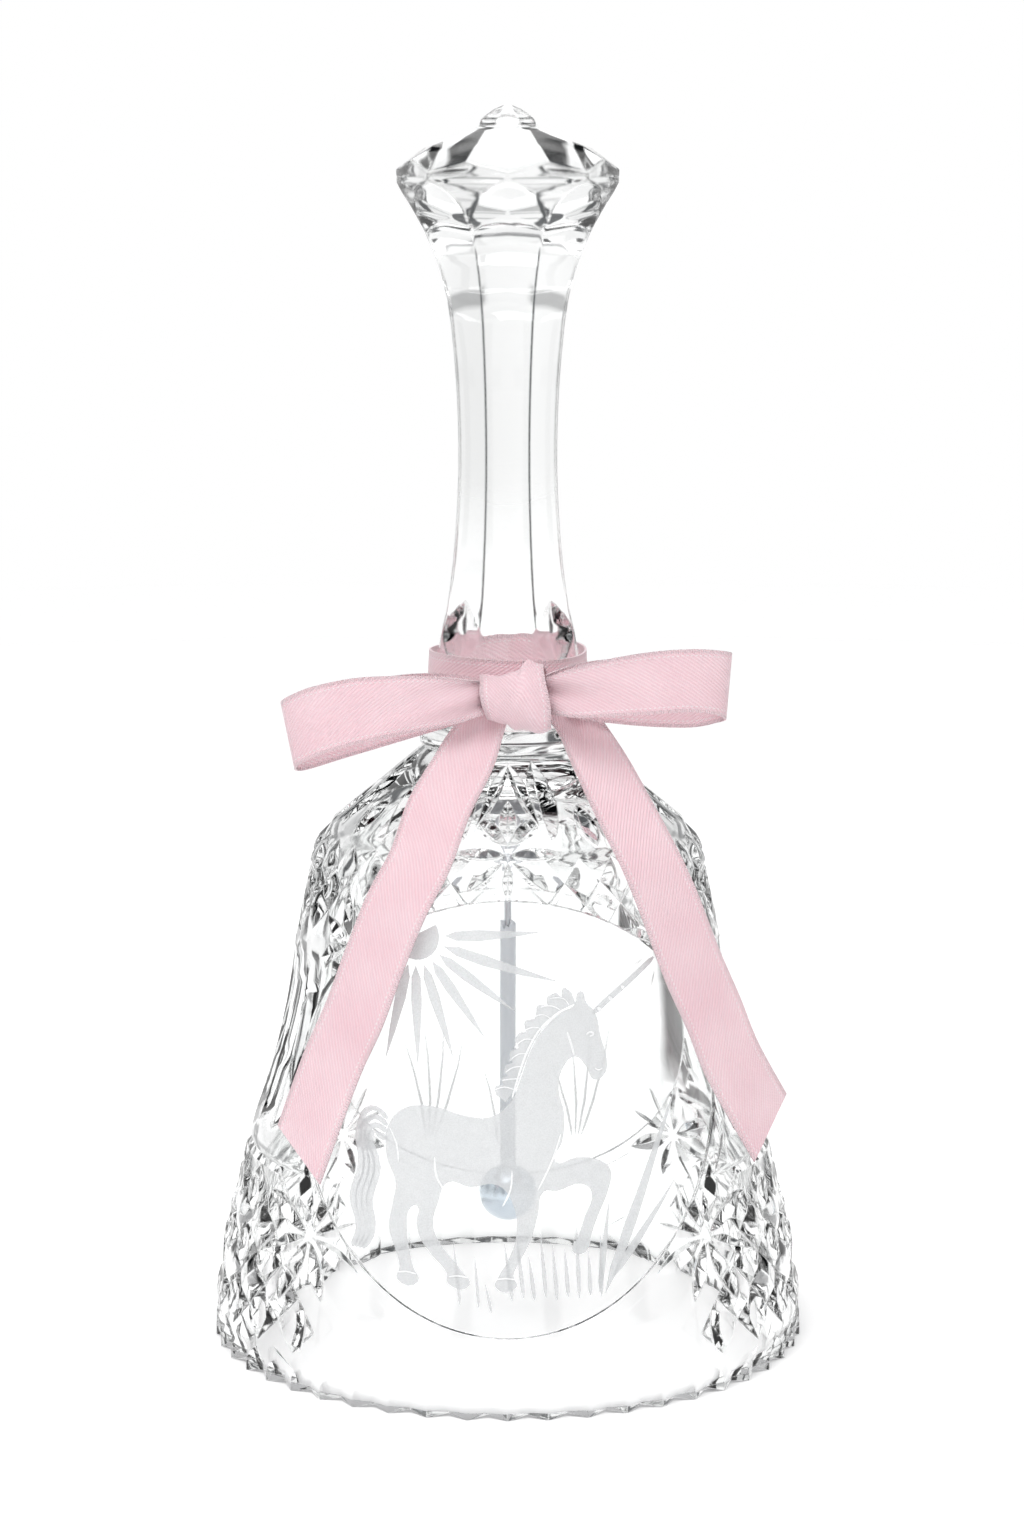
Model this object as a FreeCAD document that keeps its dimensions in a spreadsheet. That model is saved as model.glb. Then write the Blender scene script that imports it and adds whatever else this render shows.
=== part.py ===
"""Cut-glass hand bell with a hanging clapper and a ribbon bow, in millimetres.

The bell stands on its rim: +Z is up, the origin is on the axis in the plane of the rim, and the
front window faces -Y. Every size is a named cell of the Sizes sheet.
"""
import FreeCAD, Part
import math
import os

import Sketcher
from FreeCAD import Rotation, Vector

SIZES = {
    # Cup, from the rim up: radius and height of each corner of the outer wall, and its arcs.
    # The shoulder, crown and collar are set by their drop below the joint with the handle.
    "rim_radius": 43.6,
    "rim_land": 3.0,
    "bulge_arc": 49.0,
    "bulge_radius": 41.6,
    "bulge_height": 18.2,
    "flare_radius": 38.9,
    "flare_height": 29.3,
    "waist_arc": 101.0,
    "waist_radius": 31.2,
    "waist_height": 60.3,
    "shoulder_arc": 69.0,
    "shoulder_radius": 28.4,
    "shoulder_drop": 18.6,
    "crown_radius": 26.0,
    "crown_drop": 15.0,
    "collar_radius": 12.2,
    "collar_drop": 3.5,
    "bead_arc": 1.4,
    "bead_drop": 1.3,
    "joint_radius": 10.8,
    "joint_height": 91.5,
    "wall": 4.2,
    "dome_arc": 23.0,
    "crown_glass": 8.0,
    "window_radius": 29.5,
    "window_height": 41.0,
    "window_recess": 1.4,
    "flute_count": 48.0,
    "flute_radius": 2.9,
    "flute_depth": 1.1,
    "flute_height": 4.0,
    # Handle: half-widths across flats, and rises above the joint with the cup.
    "neck_radius": 9.6,
    "neck_rise": 3.1,
    "foot_radius": 10.8,
    "foot_half_width": 10.2,
    "foot_rise": 8.0,
    "lower_grip_arc": 171.0,
    "grip_half_width": 7.1,
    "grip_rise": 36.5,
    "upper_grip_arc": 164.0,
    "throat_half_width": 8.15,
    "throat_rise": 57.9,
    "throat_arc": 38.5,
    "knob_half_width": 15.9,
    "belt_radius": 14.3,
    "belt_rise": 72.5,
    "girdle_radius": 16.0,
    "girdle_rise": 77.4,
    "girdle_band": 1.0,
    "table_radius": 11.7,
    "table_rise": 82.1,
    "cap_radius": 4.4,
    "cap_rise": 85.5,
    "tip_rise": 88.5,
    # Clapper, from its seat in the crown down to the ball.
    "plug_radius": 4.5,
    "plug_height": 4.2,
    "seat_margin": 1.0,
    "cement_thickness": 0.3,
    "eye_radius": 1.7,
    "eye_wire": 0.9,
    "eye_gap": 0.1,
    "shank_length": 3.0,
    "link_wire": 0.8,
    "link_play": 0.7,
    "link_clearance": 0.08,
    "hook_radius": 1.6,
    "clapper_wire": 1.0,
    "sleeve_diameter": 2.4,
    "sleeve_length": 37.0,
    "ball_radius": 4.3,
    "ball_height": 20.2,
    "ball_bore_depth": 5.0,
    # Ribbon: one length, tied round the neck in a bow.
    "ribbon_width": 9.8,
    "ribbon_thickness": 0.5,
    "ribbon_gap": 0.3,
    "knot_width": 10.6,
    "knot_height": 9.0,
    "knot_depth": 6.0,
    "knot_offset": 1.0,
    "knot_rise": 5.8,
    "knot_edge": 2.4,
    "loop_reach": 32.0,
    "loop_end_radius": 4.0,
    "loop_root_width": 3.6,
    "left_loop_droop": 11.0,
    "right_loop_lift": 4.5,
    "loop_sweep": 4.0,
    "tail_end_height": 30.0,
    "tail_slant": 5.0,
}
FACETS = 8
ARC_STEPS = 6
SEAM_TURN = 10.0
STRAIGHT = None
RIGHT, LEFT = 1, -1

doc = FreeCAD.newDocument("glass_bell")
sheet = doc.addObject("Spreadsheet::Sheet", "Sizes")
for row, (alias, size) in enumerate(SIZES.items(), start=1):
    sheet.set(f"A{row}", alias)
    sheet.set(f"B{row}", str(size))
    sheet.setAlias(f"B{row}", alias)
doc.recompute()

# Heights and radii that several pieces share, as expressions on the sheet.
SHOULDER_HEIGHT = "Sizes.joint_height - Sizes.shoulder_drop"
CROWN_HEIGHT = "Sizes.joint_height - Sizes.crown_drop"
COLLAR_HEIGHT = "Sizes.joint_height - Sizes.collar_drop"
BEAD_HEIGHT = "Sizes.joint_height - Sizes.bead_drop"
SEAT_HEIGHT = "Sizes.joint_height - Sizes.crown_glass"
PLUG_TOP = f"{SEAT_HEIGHT} - Sizes.cement_thickness"
PLUG_BOTTOM = f"{PLUG_TOP} - Sizes.plug_height"
EYE_HEIGHT = f"{PLUG_BOTTOM} - Sizes.eye_gap - Sizes.eye_radius - Sizes.eye_wire / 2"
EYE_BAR = f"{EYE_HEIGHT} - Sizes.eye_radius"
LINK_RADIUS = "(Sizes.eye_wire + Sizes.clapper_wire + Sizes.link_play + Sizes.link_wire) / 2"
LINK_HEIGHT = f"{EYE_BAR} + (Sizes.eye_wire + Sizes.link_wire) / 2 + Sizes.link_clearance - {LINK_RADIUS}"
LINK_BAR = f"{LINK_HEIGHT} - {LINK_RADIUS}"
HOOK_TOP = f"{LINK_BAR} + (Sizes.link_wire + Sizes.clapper_wire) / 2 + Sizes.link_clearance"
HOOK_HEIGHT = f"{HOOK_TOP} - Sizes.hook_radius"
HOOK_BOTTOM = f"{HOOK_HEIGHT} - Sizes.hook_radius"
BALL_TOP = "Sizes.ball_height + Sizes.ball_radius"
BORE_BOTTOM = f"{BALL_TOP} - Sizes.ball_bore_depth"
BAND_RADIUS = "max(Sizes.joint_radius; Sizes.foot_radius) + Sizes.ribbon_gap"
BAND_FRONT = f"{BAND_RADIUS} + Sizes.ribbon_thickness"
KNOT_HEIGHT = "Sizes.joint_height + Sizes.knot_rise"
KNOT_BACK = f"{BAND_FRONT} + Sizes.ribbon_gap"
KNOT_MIDDLE = f"{KNOT_BACK} + Sizes.knot_depth / 2"


def value(expression):
    """The number that an expression on the sheet gives."""
    return float(sheet.evalExpression(expression))


def bind(target, **expressions):
    """Tie properties of an object to expressions; a double underscore stands for a dot."""
    for path, expression in expressions.items():
        target.setExpression(path.replace("__", "."), expression)
    return target


def above_joint(rise):
    """A height given as a rise above the joint between the cup and the handle."""
    return f"Sizes.joint_height + Sizes.{rise}"


# --- outlines ----------------------------------------------------------------------------------

def edge_between(start, end, arc):
    """A straight edge, or an arc (radius, side) that bows to one side of the direction of travel."""
    if arc is STRAIGHT:
        return Part.LineSegment(start, end)
    radius, side = value(arc[0]), arc[1]
    along = end - start
    out = Vector(along.y, -along.x, 0).normalize() * side
    rise = math.sqrt(radius ** 2 - along.Length ** 2 / 4)
    centre = (start + end) / 2 - out * rise
    return Part.Arc(start, centre + out * radius, end)


def closed_outline(sketch, corners):
    """Draw and fix a closed outline; each corner is (x, y, edge to the next corner)."""
    points = [Vector(value(x), value(y), 0) for x, y, _ in corners]
    edges, starts, ends = [], [], []
    for index, (_, _, arc) in enumerate(corners):
        start, end = points[index], points[(index + 1) % len(points)]
        edge = sketch.addGeometry(edge_between(start, end, arc))
        forward = (sketch.getPoint(edge, 1) - start).Length < (sketch.getPoint(edge, 2) - start).Length
        edges.append(edge)
        starts.append(1 if forward else 2)
        ends.append(2 if forward else 1)
    for index, (x, y, arc) in enumerate(corners):
        edge, start = edges[index], starts[index]
        before = (index - 1) % len(corners)
        sketch.addConstraint(Sketcher.Constraint("Coincident", edges[before], ends[before], edge, start))
        for kind, axis, expression in (("DistanceX", -2, x), ("DistanceY", -1, y)):
            if expression == "0":
                sketch.addConstraint(Sketcher.Constraint("PointOnObject", edge, start, axis))
                continue
            fixed = sketch.addConstraint(
                Sketcher.Constraint(kind, -1, 1, edge, start, value(expression)))
            sketch.setExpression(f"Constraints[{fixed}]", expression)
        if arc is not STRAIGHT:
            fixed = sketch.addConstraint(Sketcher.Constraint("Radius", edge, value(arc[0])))
            sketch.setExpression(f"Constraints[{fixed}]", arc[0])


def upright_sketch(name, corners):
    """A sketch in the XZ plane: its x is the distance from the axis, its y is the height."""
    sketch = doc.addObject("Sketcher::SketchObject", name)
    sketch.Placement.Rotation = Rotation(Vector(1, 0, 0), 90)
    closed_outline(sketch, corners)
    return sketch


def turned(name, corners):
    """A solid of revolution about the Z axis."""
    solid = doc.addObject("Part::Revolution", name)
    solid.Source = upright_sketch(f"{name}_outline", corners)
    solid.Axis = Vector(0, 0, 1)
    solid.Angle = 360
    solid.Solid = True
    return solid


def body_sketch(body, name, plane, corners):
    """A sketch on one of the body's own origin planes."""
    sketch = body.newObject("Sketcher::SketchObject", name)
    support = [item for item in body.Origin.OriginFeatures if item.Role == plane][0]
    sketch.AttachmentSupport = [(support, "")]
    sketch.MapMode = "FlatFace"
    doc.recompute()
    if corners:
        closed_outline(sketch, corners)
    return sketch


def pair(kind, name, first, second):
    """A boolean of two solids."""
    result = doc.addObject(kind, name)
    result.Base = first
    result.Tool = second
    return result


def cylinder(name, radius, length, bottom):
    """An upright cylinder on the axis."""
    solid = doc.addObject("Part::Cylinder", name)
    return bind(solid, Radius=radius, Height=length, Placement__Base__z=bottom)


def wire_ring(name, radius, wire, height, axis):
    """A ring of round wire that stands upright on the bell's axis."""
    solid = doc.addObject("Part::Torus", name)
    solid.Placement.Rotation = Rotation(Vector(0, 0, 1), axis)
    return bind(solid, Radius1=radius, Radius2=f"{wire} / 2", Placement__Base__z=height)


# --- cup ---------------------------------------------------------------------------------------

def wall_corners(inset):
    """Corners of the cup's wall from the rim to the shoulder, moved in by an inset."""
    return [
        (f"Sizes.rim_radius - {inset}", "Sizes.rim_land", ("Sizes.bulge_arc", RIGHT)),
        (f"Sizes.bulge_radius - {inset}", "Sizes.bulge_height", STRAIGHT),
        (f"Sizes.flare_radius - {inset}", "Sizes.flare_height", ("Sizes.waist_arc", LEFT)),
        (f"Sizes.waist_radius - {inset}", "Sizes.waist_height", ("Sizes.shoulder_arc", RIGHT)),
        (f"Sizes.shoulder_radius - {inset}", SHOULDER_HEIGHT, STRAIGHT),
    ]


def downwards(corners, last):
    """The same edges travelled the other way; last is the edge after the lowest corner."""
    turned_round = []
    for index in range(len(corners) - 1, -1, -1):
        arc = corners[index - 1][2] if index else last
        if index and arc is not STRAIGHT:
            arc = (arc[0], -arc[1])
        turned_round.append((corners[index][0], corners[index][1], arc))
    return turned_round


def make_cup():
    """The cup: turned inside and out, 48 flutes round the rim and a recessed window on two sides."""
    blank = doc.addObject("PartDesign::Body", "cup_blank")
    inner = downwards(wall_corners("Sizes.wall"), STRAIGHT)
    outline = [
        ("Sizes.rim_radius - Sizes.wall", "0", STRAIGHT),
        ("Sizes.rim_radius", "0", STRAIGHT),
        *wall_corners("0"),
        ("Sizes.crown_radius", CROWN_HEIGHT, STRAIGHT),
        ("Sizes.collar_radius", COLLAR_HEIGHT, ("Sizes.bead_arc", RIGHT)),
        ("Sizes.collar_radius", BEAD_HEIGHT, STRAIGHT),
        ("Sizes.joint_radius", "Sizes.joint_height", STRAIGHT),
        ("0", "Sizes.joint_height", STRAIGHT),
        ("0", SEAT_HEIGHT, STRAIGHT),
        ("Sizes.plug_radius + Sizes.seat_margin", SEAT_HEIGHT, ("Sizes.dome_arc", LEFT)),
        *inner,
    ]
    wall = blank.newObject("PartDesign::Revolution", "cup_wall")
    wall.Profile = body_sketch(blank, "cup_outline", "XZ_Plane", outline)
    wall.ReferenceAxis = (wall.Profile[0], ["V_Axis"])
    wall.Angle = 360
    doc.recompute()

    circle = body_sketch(blank, "flute_outline", "XY_Plane", [])
    centre = "Sizes.rim_radius - Sizes.flute_depth + Sizes.flute_radius"
    circle.addGeometry(Part.Circle(Vector(0, -value(centre), 0), Vector(0, 0, 1),
                                   value("Sizes.flute_radius")))
    circle.addConstraint(Sketcher.Constraint("PointOnObject", 0, 3, -2))
    circle.addConstraint(Sketcher.Constraint("DistanceY", 0, 3, -1, 1, value(centre)))
    circle.setExpression("Constraints[1]", centre)
    circle.addConstraint(Sketcher.Constraint("Radius", 0, value("Sizes.flute_radius")))
    circle.setExpression("Constraints[2]", "Sizes.flute_radius")
    whole = wall.Shape.Volume
    flute = blank.newObject("PartDesign::Pocket", "rim_flute")
    flute.Profile = circle
    flute.Reversed = True
    bind(flute, Length="Sizes.flute_height")
    doc.recompute()
    assert flute.Shape.Volume < whole, "the rim flute cuts nothing"
    flutes = blank.newObject("PartDesign::PolarPattern", "rim_flutes")
    flutes.Originals = [flute]
    flutes.Axis = (circle, ["N_Axis"])
    flutes.Angle = 360
    bind(flutes, Occurrences="Sizes.flute_count")
    blank.Tip = flutes

    core = turned("window_core", [
        ("0", "0", STRAIGHT),
        ("Sizes.rim_radius - Sizes.window_recess", "0", STRAIGHT),
        *wall_corners("Sizes.window_recess"),
        ("0", SHOULDER_HEIGHT, STRAIGHT),
    ])
    disc = doc.addObject("Part::Cylinder", "window_disc")
    disc.Placement.Rotation = Rotation(Vector(1, 0, 0), 90)
    bind(disc, Radius="Sizes.window_radius", Height="4 * Sizes.rim_radius",
         Placement__Base__y="2 * Sizes.rim_radius", Placement__Base__z="Sizes.window_height")
    recess = pair("Part::Cut", "window_recess_tool", disc, core)
    return pair("Part::Cut", "bell_cup", blank, recess)


def cup_radius(height):
    """Radius of the cup's wall at a height, where the hollow of the waist counts as filled."""
    corners = [
        *wall_corners("0"),
        ("Sizes.crown_radius", CROWN_HEIGHT, STRAIGHT),
        ("Sizes.collar_radius", COLLAR_HEIGHT, STRAIGHT),
        ("Sizes.collar_radius", above_joint("knot_rise"), STRAIGHT),
    ]
    for (x, y, arc), (next_x, next_y, _) in zip(corners, corners[1:]):
        low, high = Vector(value(x), value(y), 0), Vector(value(next_x), value(next_y), 0)
        if low.y <= height <= high.y:
            if arc is not STRAIGHT and arc[1] == RIGHT:
                bow = edge_between(low, high, arc).toShape().Curve
                return bow.Center.x + math.sqrt(bow.Radius ** 2 - (height - bow.Center.y) ** 2)
            return low.x + (high.x - low.x) * (height - low.y) / (high.y - low.y)
    return value("Sizes.rim_radius")


# --- handle ------------------------------------------------------------------------------------

def make_handle():
    """The handle and its knob: a turned blank cut down to eight long concave facets."""
    blank = turned("handle_blank", [
        ("0", "Sizes.joint_height", STRAIGHT),
        ("Sizes.joint_radius", "Sizes.joint_height", STRAIGHT),
        ("Sizes.neck_radius", above_joint("neck_rise"), STRAIGHT),
        ("Sizes.foot_radius", above_joint("foot_rise"), STRAIGHT),
        ("Sizes.belt_radius", above_joint("belt_rise"), STRAIGHT),
        ("Sizes.girdle_radius", above_joint("girdle_rise"), STRAIGHT),
        ("Sizes.girdle_radius", f"{above_joint('girdle_rise')} + Sizes.girdle_band", STRAIGHT),
        ("Sizes.table_radius", above_joint("table_rise"), STRAIGHT),
        ("Sizes.cap_radius", above_joint("cap_rise"), STRAIGHT),
        ("0", above_joint("tip_rise"), STRAIGHT),
    ])
    blank.Placement.Rotation = Rotation(Vector(0, 0, 1), SEAM_TURN)
    facet = [
        ("Sizes.knob_half_width", "Sizes.joint_height", STRAIGHT),
        ("Sizes.knob_half_width", above_joint("neck_rise"), STRAIGHT),
        ("Sizes.foot_half_width", above_joint("foot_rise"), ("Sizes.lower_grip_arc", LEFT)),
        ("Sizes.grip_half_width", above_joint("grip_rise"), ("Sizes.upper_grip_arc", LEFT)),
        ("Sizes.throat_half_width", above_joint("throat_rise"), ("Sizes.throat_arc", LEFT)),
        ("Sizes.knob_half_width", above_joint("girdle_rise"), STRAIGHT),
        ("Sizes.knob_half_width + Sizes.girdle_band", above_joint("tip_rise"), STRAIGHT),
    ]
    corners = [Vector(value(half_width), value(height), 0) for half_width, height, _ in facet]
    profile = corners[:1]
    for start, end, (_, _, arc) in zip(corners, corners[1:], facet):
        steps = 2 if arc is STRAIGHT else ARC_STEPS
        profile += edge_between(start, end, arc).toShape().discretize(Number=steps)[1:]
    sections = []
    for index, point in enumerate(profile):
        section = doc.addObject("Part::RegularPolygon", f"facet_section_{index}")
        section.Polygon = FACETS
        section.Circumradius = point.x / math.cos(math.pi / FACETS)
        section.Placement = FreeCAD.Placement(Vector(0, 0, point.y),
                                              Rotation(Vector(0, 0, 1), 180 / FACETS))
        sections.append(section)
    prism = doc.addObject("Part::Loft", "facet_prism")
    prism.Sections = sections
    prism.Solid = True
    prism.Ruled = True
    return pair("Part::Common", "handle", blank, prism)


# --- clapper -----------------------------------------------------------------------------------

def make_plug():
    """The plug in the crown that holds the eye, with a bore for the eye's shank."""
    plug = doc.addObject("PartDesign::Body", "crown_plug")
    bore = "Sizes.eye_wire / 2"
    shape = plug.newObject("PartDesign::Revolution", "plug_shape")
    shape.Profile = body_sketch(plug, "plug_outline", "XZ_Plane", [
        (bore, PLUG_BOTTOM, STRAIGHT),
        ("Sizes.plug_radius * 0.8", PLUG_BOTTOM, STRAIGHT),
        ("Sizes.plug_radius", f"{PLUG_BOTTOM} + Sizes.plug_radius * 0.2", STRAIGHT),
        ("Sizes.plug_radius", PLUG_TOP, STRAIGHT),
        (bore, PLUG_TOP, STRAIGHT),
    ])
    shape.ReferenceAxis = (shape.Profile[0], ["V_Axis"])
    shape.Angle = 360
    return plug


def make_clapper():
    """Cement, eye, link, wire, sleeve and ball, each hung from the one above it."""
    cement = cylinder("plug_cement", "Sizes.plug_radius + Sizes.seat_margin / 2",
                      "Sizes.cement_thickness", PLUG_TOP)
    eye_loop = wire_ring("eye_loop", "Sizes.eye_radius", "Sizes.eye_wire", EYE_HEIGHT, Vector(0, 1, 0))
    eye_shank = cylinder("eye_shank", "Sizes.eye_wire / 2",
                         "Sizes.shank_length + Sizes.eye_gap + Sizes.eye_wire / 2",
                         f"{EYE_HEIGHT} + Sizes.eye_radius")
    eye = pair("Part::Fuse", "plug_eye", eye_loop, eye_shank)
    link = wire_ring("link_ring", LINK_RADIUS, "Sizes.link_wire", LINK_HEIGHT, Vector(1, 0, 0))
    hook = wire_ring("hook_loop", "Sizes.hook_radius", "Sizes.clapper_wire", HOOK_HEIGHT, Vector(0, 1, 0))
    rod = cylinder("hook_rod", "Sizes.clapper_wire / 2", f"{HOOK_BOTTOM} - ({BORE_BOTTOM})", BORE_BOTTOM)
    wire = pair("Part::Fuse", "clapper_wire", hook, rod)
    sleeve = pair("Part::Cut", "clapper_sleeve",
                  cylinder("sleeve_outside", "Sizes.sleeve_diameter / 2", "Sizes.sleeve_length", BALL_TOP),
                  cylinder("sleeve_bore", "Sizes.clapper_wire / 2", "Sizes.sleeve_length", BALL_TOP))
    sphere = doc.addObject("Part::Sphere", "ball_sphere")
    bind(sphere, Radius="Sizes.ball_radius", Placement__Base__z="Sizes.ball_height")
    bore = cylinder("ball_bore", "Sizes.clapper_wire / 2", "Sizes.ball_bore_depth", BORE_BOTTOM)
    ball = pair("Part::Cut", "clapper_ball", sphere, bore)
    return [cement, eye, link, wire, sleeve, ball]


# --- ribbon ------------------------------------------------------------------------------------

def make_band():
    """The turn of ribbon round the neck."""
    bottom = f"{KNOT_HEIGHT} - Sizes.ribbon_width / 2"
    return pair("Part::Cut", "ribbon_neck_band",
                cylinder("band_outside", BAND_FRONT, "Sizes.ribbon_width", bottom),
                cylinder("band_inside", BAND_RADIUS, "Sizes.ribbon_width", bottom))


def make_knot():
    """The knot: a rounded block in front of the neck band."""
    knot = doc.addObject("PartDesign::Body", "ribbon_knot")
    left = "Sizes.knot_offset - Sizes.knot_width / 2"
    right = "Sizes.knot_offset + Sizes.knot_width / 2"
    low = f"{KNOT_HEIGHT} - Sizes.knot_height / 2"
    high = f"{KNOT_HEIGHT} + Sizes.knot_height / 2"
    block = knot.newObject("PartDesign::Pad", "knot_block")
    block.Profile = body_sketch(knot, "knot_outline", "XZ_Plane", [
        (left, low, STRAIGHT),
        (right, low, STRAIGHT),
        (right, high, STRAIGHT),
        (left, high, STRAIGHT),
    ])
    bind(block, Length="Sizes.knot_depth")
    doc.recompute()
    rounded = knot.newObject("PartDesign::Fillet", "knot_edges")
    rounded.Base = (block, [f"Edge{i + 1}" for i in range(len(block.Shape.Edges))])
    bind(rounded, Radius="Sizes.knot_edge")
    bind(knot, Placement__Base__y=f"-({KNOT_BACK})")
    return knot


def make_loop(side, name, tilt):
    """One loop of the bow: a flat ring that is narrow at the knot and round at its far end."""
    root_shift = f"(Sizes.knot_width / 2 + Sizes.ribbon_gap + Sizes.ribbon_width / 2 * sin({tilt}))"
    far = f"(Sizes.loop_reach - {root_shift} - {side} * Sizes.knot_offset - Sizes.loop_end_radius)"
    sketch = doc.addObject("Sketcher::SketchObject", f"{name}_outline")
    for inset in ("0", "Sizes.ribbon_thickness"):
        root = f"(Sizes.loop_root_width / 2 - {inset})"
        end = f"(Sizes.loop_end_radius - {inset})"
        closed_outline(sketch, [
            (inset, f"-{root}", STRAIGHT),
            (far, f"-{end}", (end, RIGHT)),
            (f"{far} + {end}", "0", (end, RIGHT)),
            (far, end, STRAIGHT),
            (inset, root, STRAIGHT),
        ])
    loop = doc.addObject("Part::Extrusion", name)
    loop.Base = sketch
    loop.Dir = Vector(0, 0, 1)
    loop.DirMode = "Custom"
    loop.Symmetric = True
    loop.Solid = True
    bind(loop, LengthFwd="Sizes.ribbon_width")
    outwards = Rotation(Vector(0, 0, 1), 0 if side > 0 else 180)
    sweep = Rotation(Vector(0, 0, 1), side * value("Sizes.loop_sweep"))
    loop.Placement.Rotation = sweep * Rotation(Vector(0, 1, 0), -value(tilt)) * outwards
    bind(loop,
         Placement__Base__x=f"Sizes.knot_offset + {side} * {root_shift}",
         Placement__Base__y=f"-({KNOT_MIDDLE})",
         Placement__Base__z=KNOT_HEIGHT)
    return loop


# How far the left loop's lower edge drops across the width of a tail.
LOOP_DROP = "Sizes.ribbon_width * sin(Sizes.left_loop_droop)"
# Where the inner edge of each tail lies, from the knot down: the height, the distance out from the
# cup's wall, the angle round the bell and the way the ribbon faces, both from the front.
TAIL_HEIGHTS = [
    (f"{KNOT_HEIGHT} - max(Sizes.knot_height; Sizes.ribbon_width) / 2 - {LOOP_DROP}", 3.0),
    (f"{COLLAR_HEIGHT} - 0.8", 6.0),
    (f"{CROWN_HEIGHT} + 5.3", 4.2),
    (f"{SHOULDER_HEIGHT} + 1.6", 1.5),
    (f"(Sizes.waist_height + {SHOULDER_HEIGHT}) / 2 + 3.0", 1.3),
    ("Sizes.waist_height + 5.0", 1.0),
    ("(Sizes.waist_height + Sizes.flare_height) / 2", 0.0),
    ("Sizes.tail_end_height", 0.9),
]
LEFT_TAIL = [(-2.6, -9), (-6.7, -14), (-12.9, -20), (-16.5, -24), (-19.9, -26), (-23.0, -27),
             (-36.6, -30), (-41.8, -30)]
RIGHT_TAIL = [(27.2, 25), (28.9, 28), (30.8, 30), (33.6, 30), (36.2, 30), (38.5, 30), (52.9, 31), (62.9, 32)]


def make_tail(side, name, route):
    """One tail of the bow: a flat strip whose inner edge follows the cup, cut off at a slant."""
    width = value("Sizes.ribbon_width")
    inner, across = [], []
    for (height, gap), (around, facing) in zip(TAIL_HEIGHTS, route):
        radius = cup_radius(value(height)) + gap
        angle = math.radians(around)
        inner.append(Vector(radius * math.sin(angle), -radius * math.cos(angle), value(height)))
        angle = math.radians(facing)
        across.append(Vector(math.cos(angle), math.sin(angle), 0) * side)
    sections = []
    for index, (point, outwards) in enumerate(zip(inner, across)):
        before, after = inner[max(index - 1, 0)], inner[min(index + 1, len(inner) - 1)]
        down = (after - before).normalize()
        reach = (outwards - down * outwards.dot(down)).normalize() * width
        if index == len(inner) - 1:
            reach = reach - down * value("Sizes.tail_slant")
        front = down.cross(outwards).normalize() * side * value("Sizes.ribbon_thickness")
        section = doc.addObject("Part::Polygon", f"{name}_section_{index}")
        section.Nodes = [point, point + reach, point + reach + front, point + front]
        section.Close = True
        sections.append(section)
    tail = doc.addObject("Part::Loft", name)
    tail.Sections = sections
    tail.Solid = True
    tail.Ruled = True
    return tail


def make_ribbon():
    """The whole bow: neck band, knot, two loops and two tails."""
    return [
        make_band(),
        make_knot(),
        make_loop(-1, "ribbon_loop_left", "Sizes.left_loop_droop"),
        make_loop(1, "ribbon_loop_right", "Sizes.right_loop_lift"),
        make_tail(-1, "ribbon_tail_left", LEFT_TAIL),
        make_tail(1, "ribbon_tail_right", RIGHT_TAIL),
    ]


# --- build, check and write --------------------------------------------------------------------

pieces = [make_cup(), make_handle(), make_plug(), *make_clapper(), *make_ribbon()]
doc.recompute()
failed = [item.Name for item in doc.Objects if {"Invalid", "Error"} & set(item.State)]
assert not failed, f"these objects failed: {failed}"

os.makedirs("parts", exist_ok=True)
for piece in pieces:
    piece.Label = piece.Name
    shape = piece.Shape
    assert not shape.isNull() and shape.isValid(), f"{piece.Label} has no valid shape"
    assert len(shape.Solids) == 1, f"{piece.Label} has {len(shape.Solids)} solids"
    shape.exportStep(f"parts/{piece.Label}.step")
    box = shape.BoundBox
    print(f"{piece.Label}: {shape.Volume:.1f} mm3, z {box.ZMin:.2f} to {box.ZMax:.2f}")
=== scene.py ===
"""Looks of the cut-glass hand bell: faceted glass, an etched window, a hanging clapper, a satin bow.

Lengths are written in millimetres and become metres through MM. +Z is up, the front faces -Y.
"""
import math

import bmesh
import bpy
from mathutils import Matrix, Vector


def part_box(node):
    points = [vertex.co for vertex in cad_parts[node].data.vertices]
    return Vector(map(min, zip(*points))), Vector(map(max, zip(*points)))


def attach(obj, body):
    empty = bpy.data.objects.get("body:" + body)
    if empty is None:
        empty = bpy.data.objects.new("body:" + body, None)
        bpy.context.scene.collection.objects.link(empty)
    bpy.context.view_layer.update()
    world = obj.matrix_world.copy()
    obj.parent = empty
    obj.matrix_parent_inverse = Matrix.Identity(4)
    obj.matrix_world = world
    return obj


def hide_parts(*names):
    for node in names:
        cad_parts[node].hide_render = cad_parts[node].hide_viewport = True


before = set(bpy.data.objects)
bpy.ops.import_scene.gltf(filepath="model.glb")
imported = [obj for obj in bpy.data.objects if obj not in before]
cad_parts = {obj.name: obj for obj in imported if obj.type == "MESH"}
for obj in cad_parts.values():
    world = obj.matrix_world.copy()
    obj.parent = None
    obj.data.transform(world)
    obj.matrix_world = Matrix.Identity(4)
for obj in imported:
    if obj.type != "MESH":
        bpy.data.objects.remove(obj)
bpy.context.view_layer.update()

MM = 0.001
scene = bpy.context.scene
bpy.ops.object.select_all(action="DESELECT")


# --- camera ---

LOOKING_DOWN = 10.28


def make_camera():
    """The view from in front and a little above."""
    data = bpy.data.cameras.new("camera")
    data.lens = 91.5
    data.sensor_width = 36
    camera = bpy.data.objects.new("camera", data)
    camera.location = Vector((0.6, -560.7, 186)) * MM
    camera.rotation_euler = (math.radians(90 - LOOKING_DOWN), 0, 0)
    scene.collection.objects.link(camera)
    bpy.context.scene.camera = camera


make_camera()


# --- finishes ---

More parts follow.
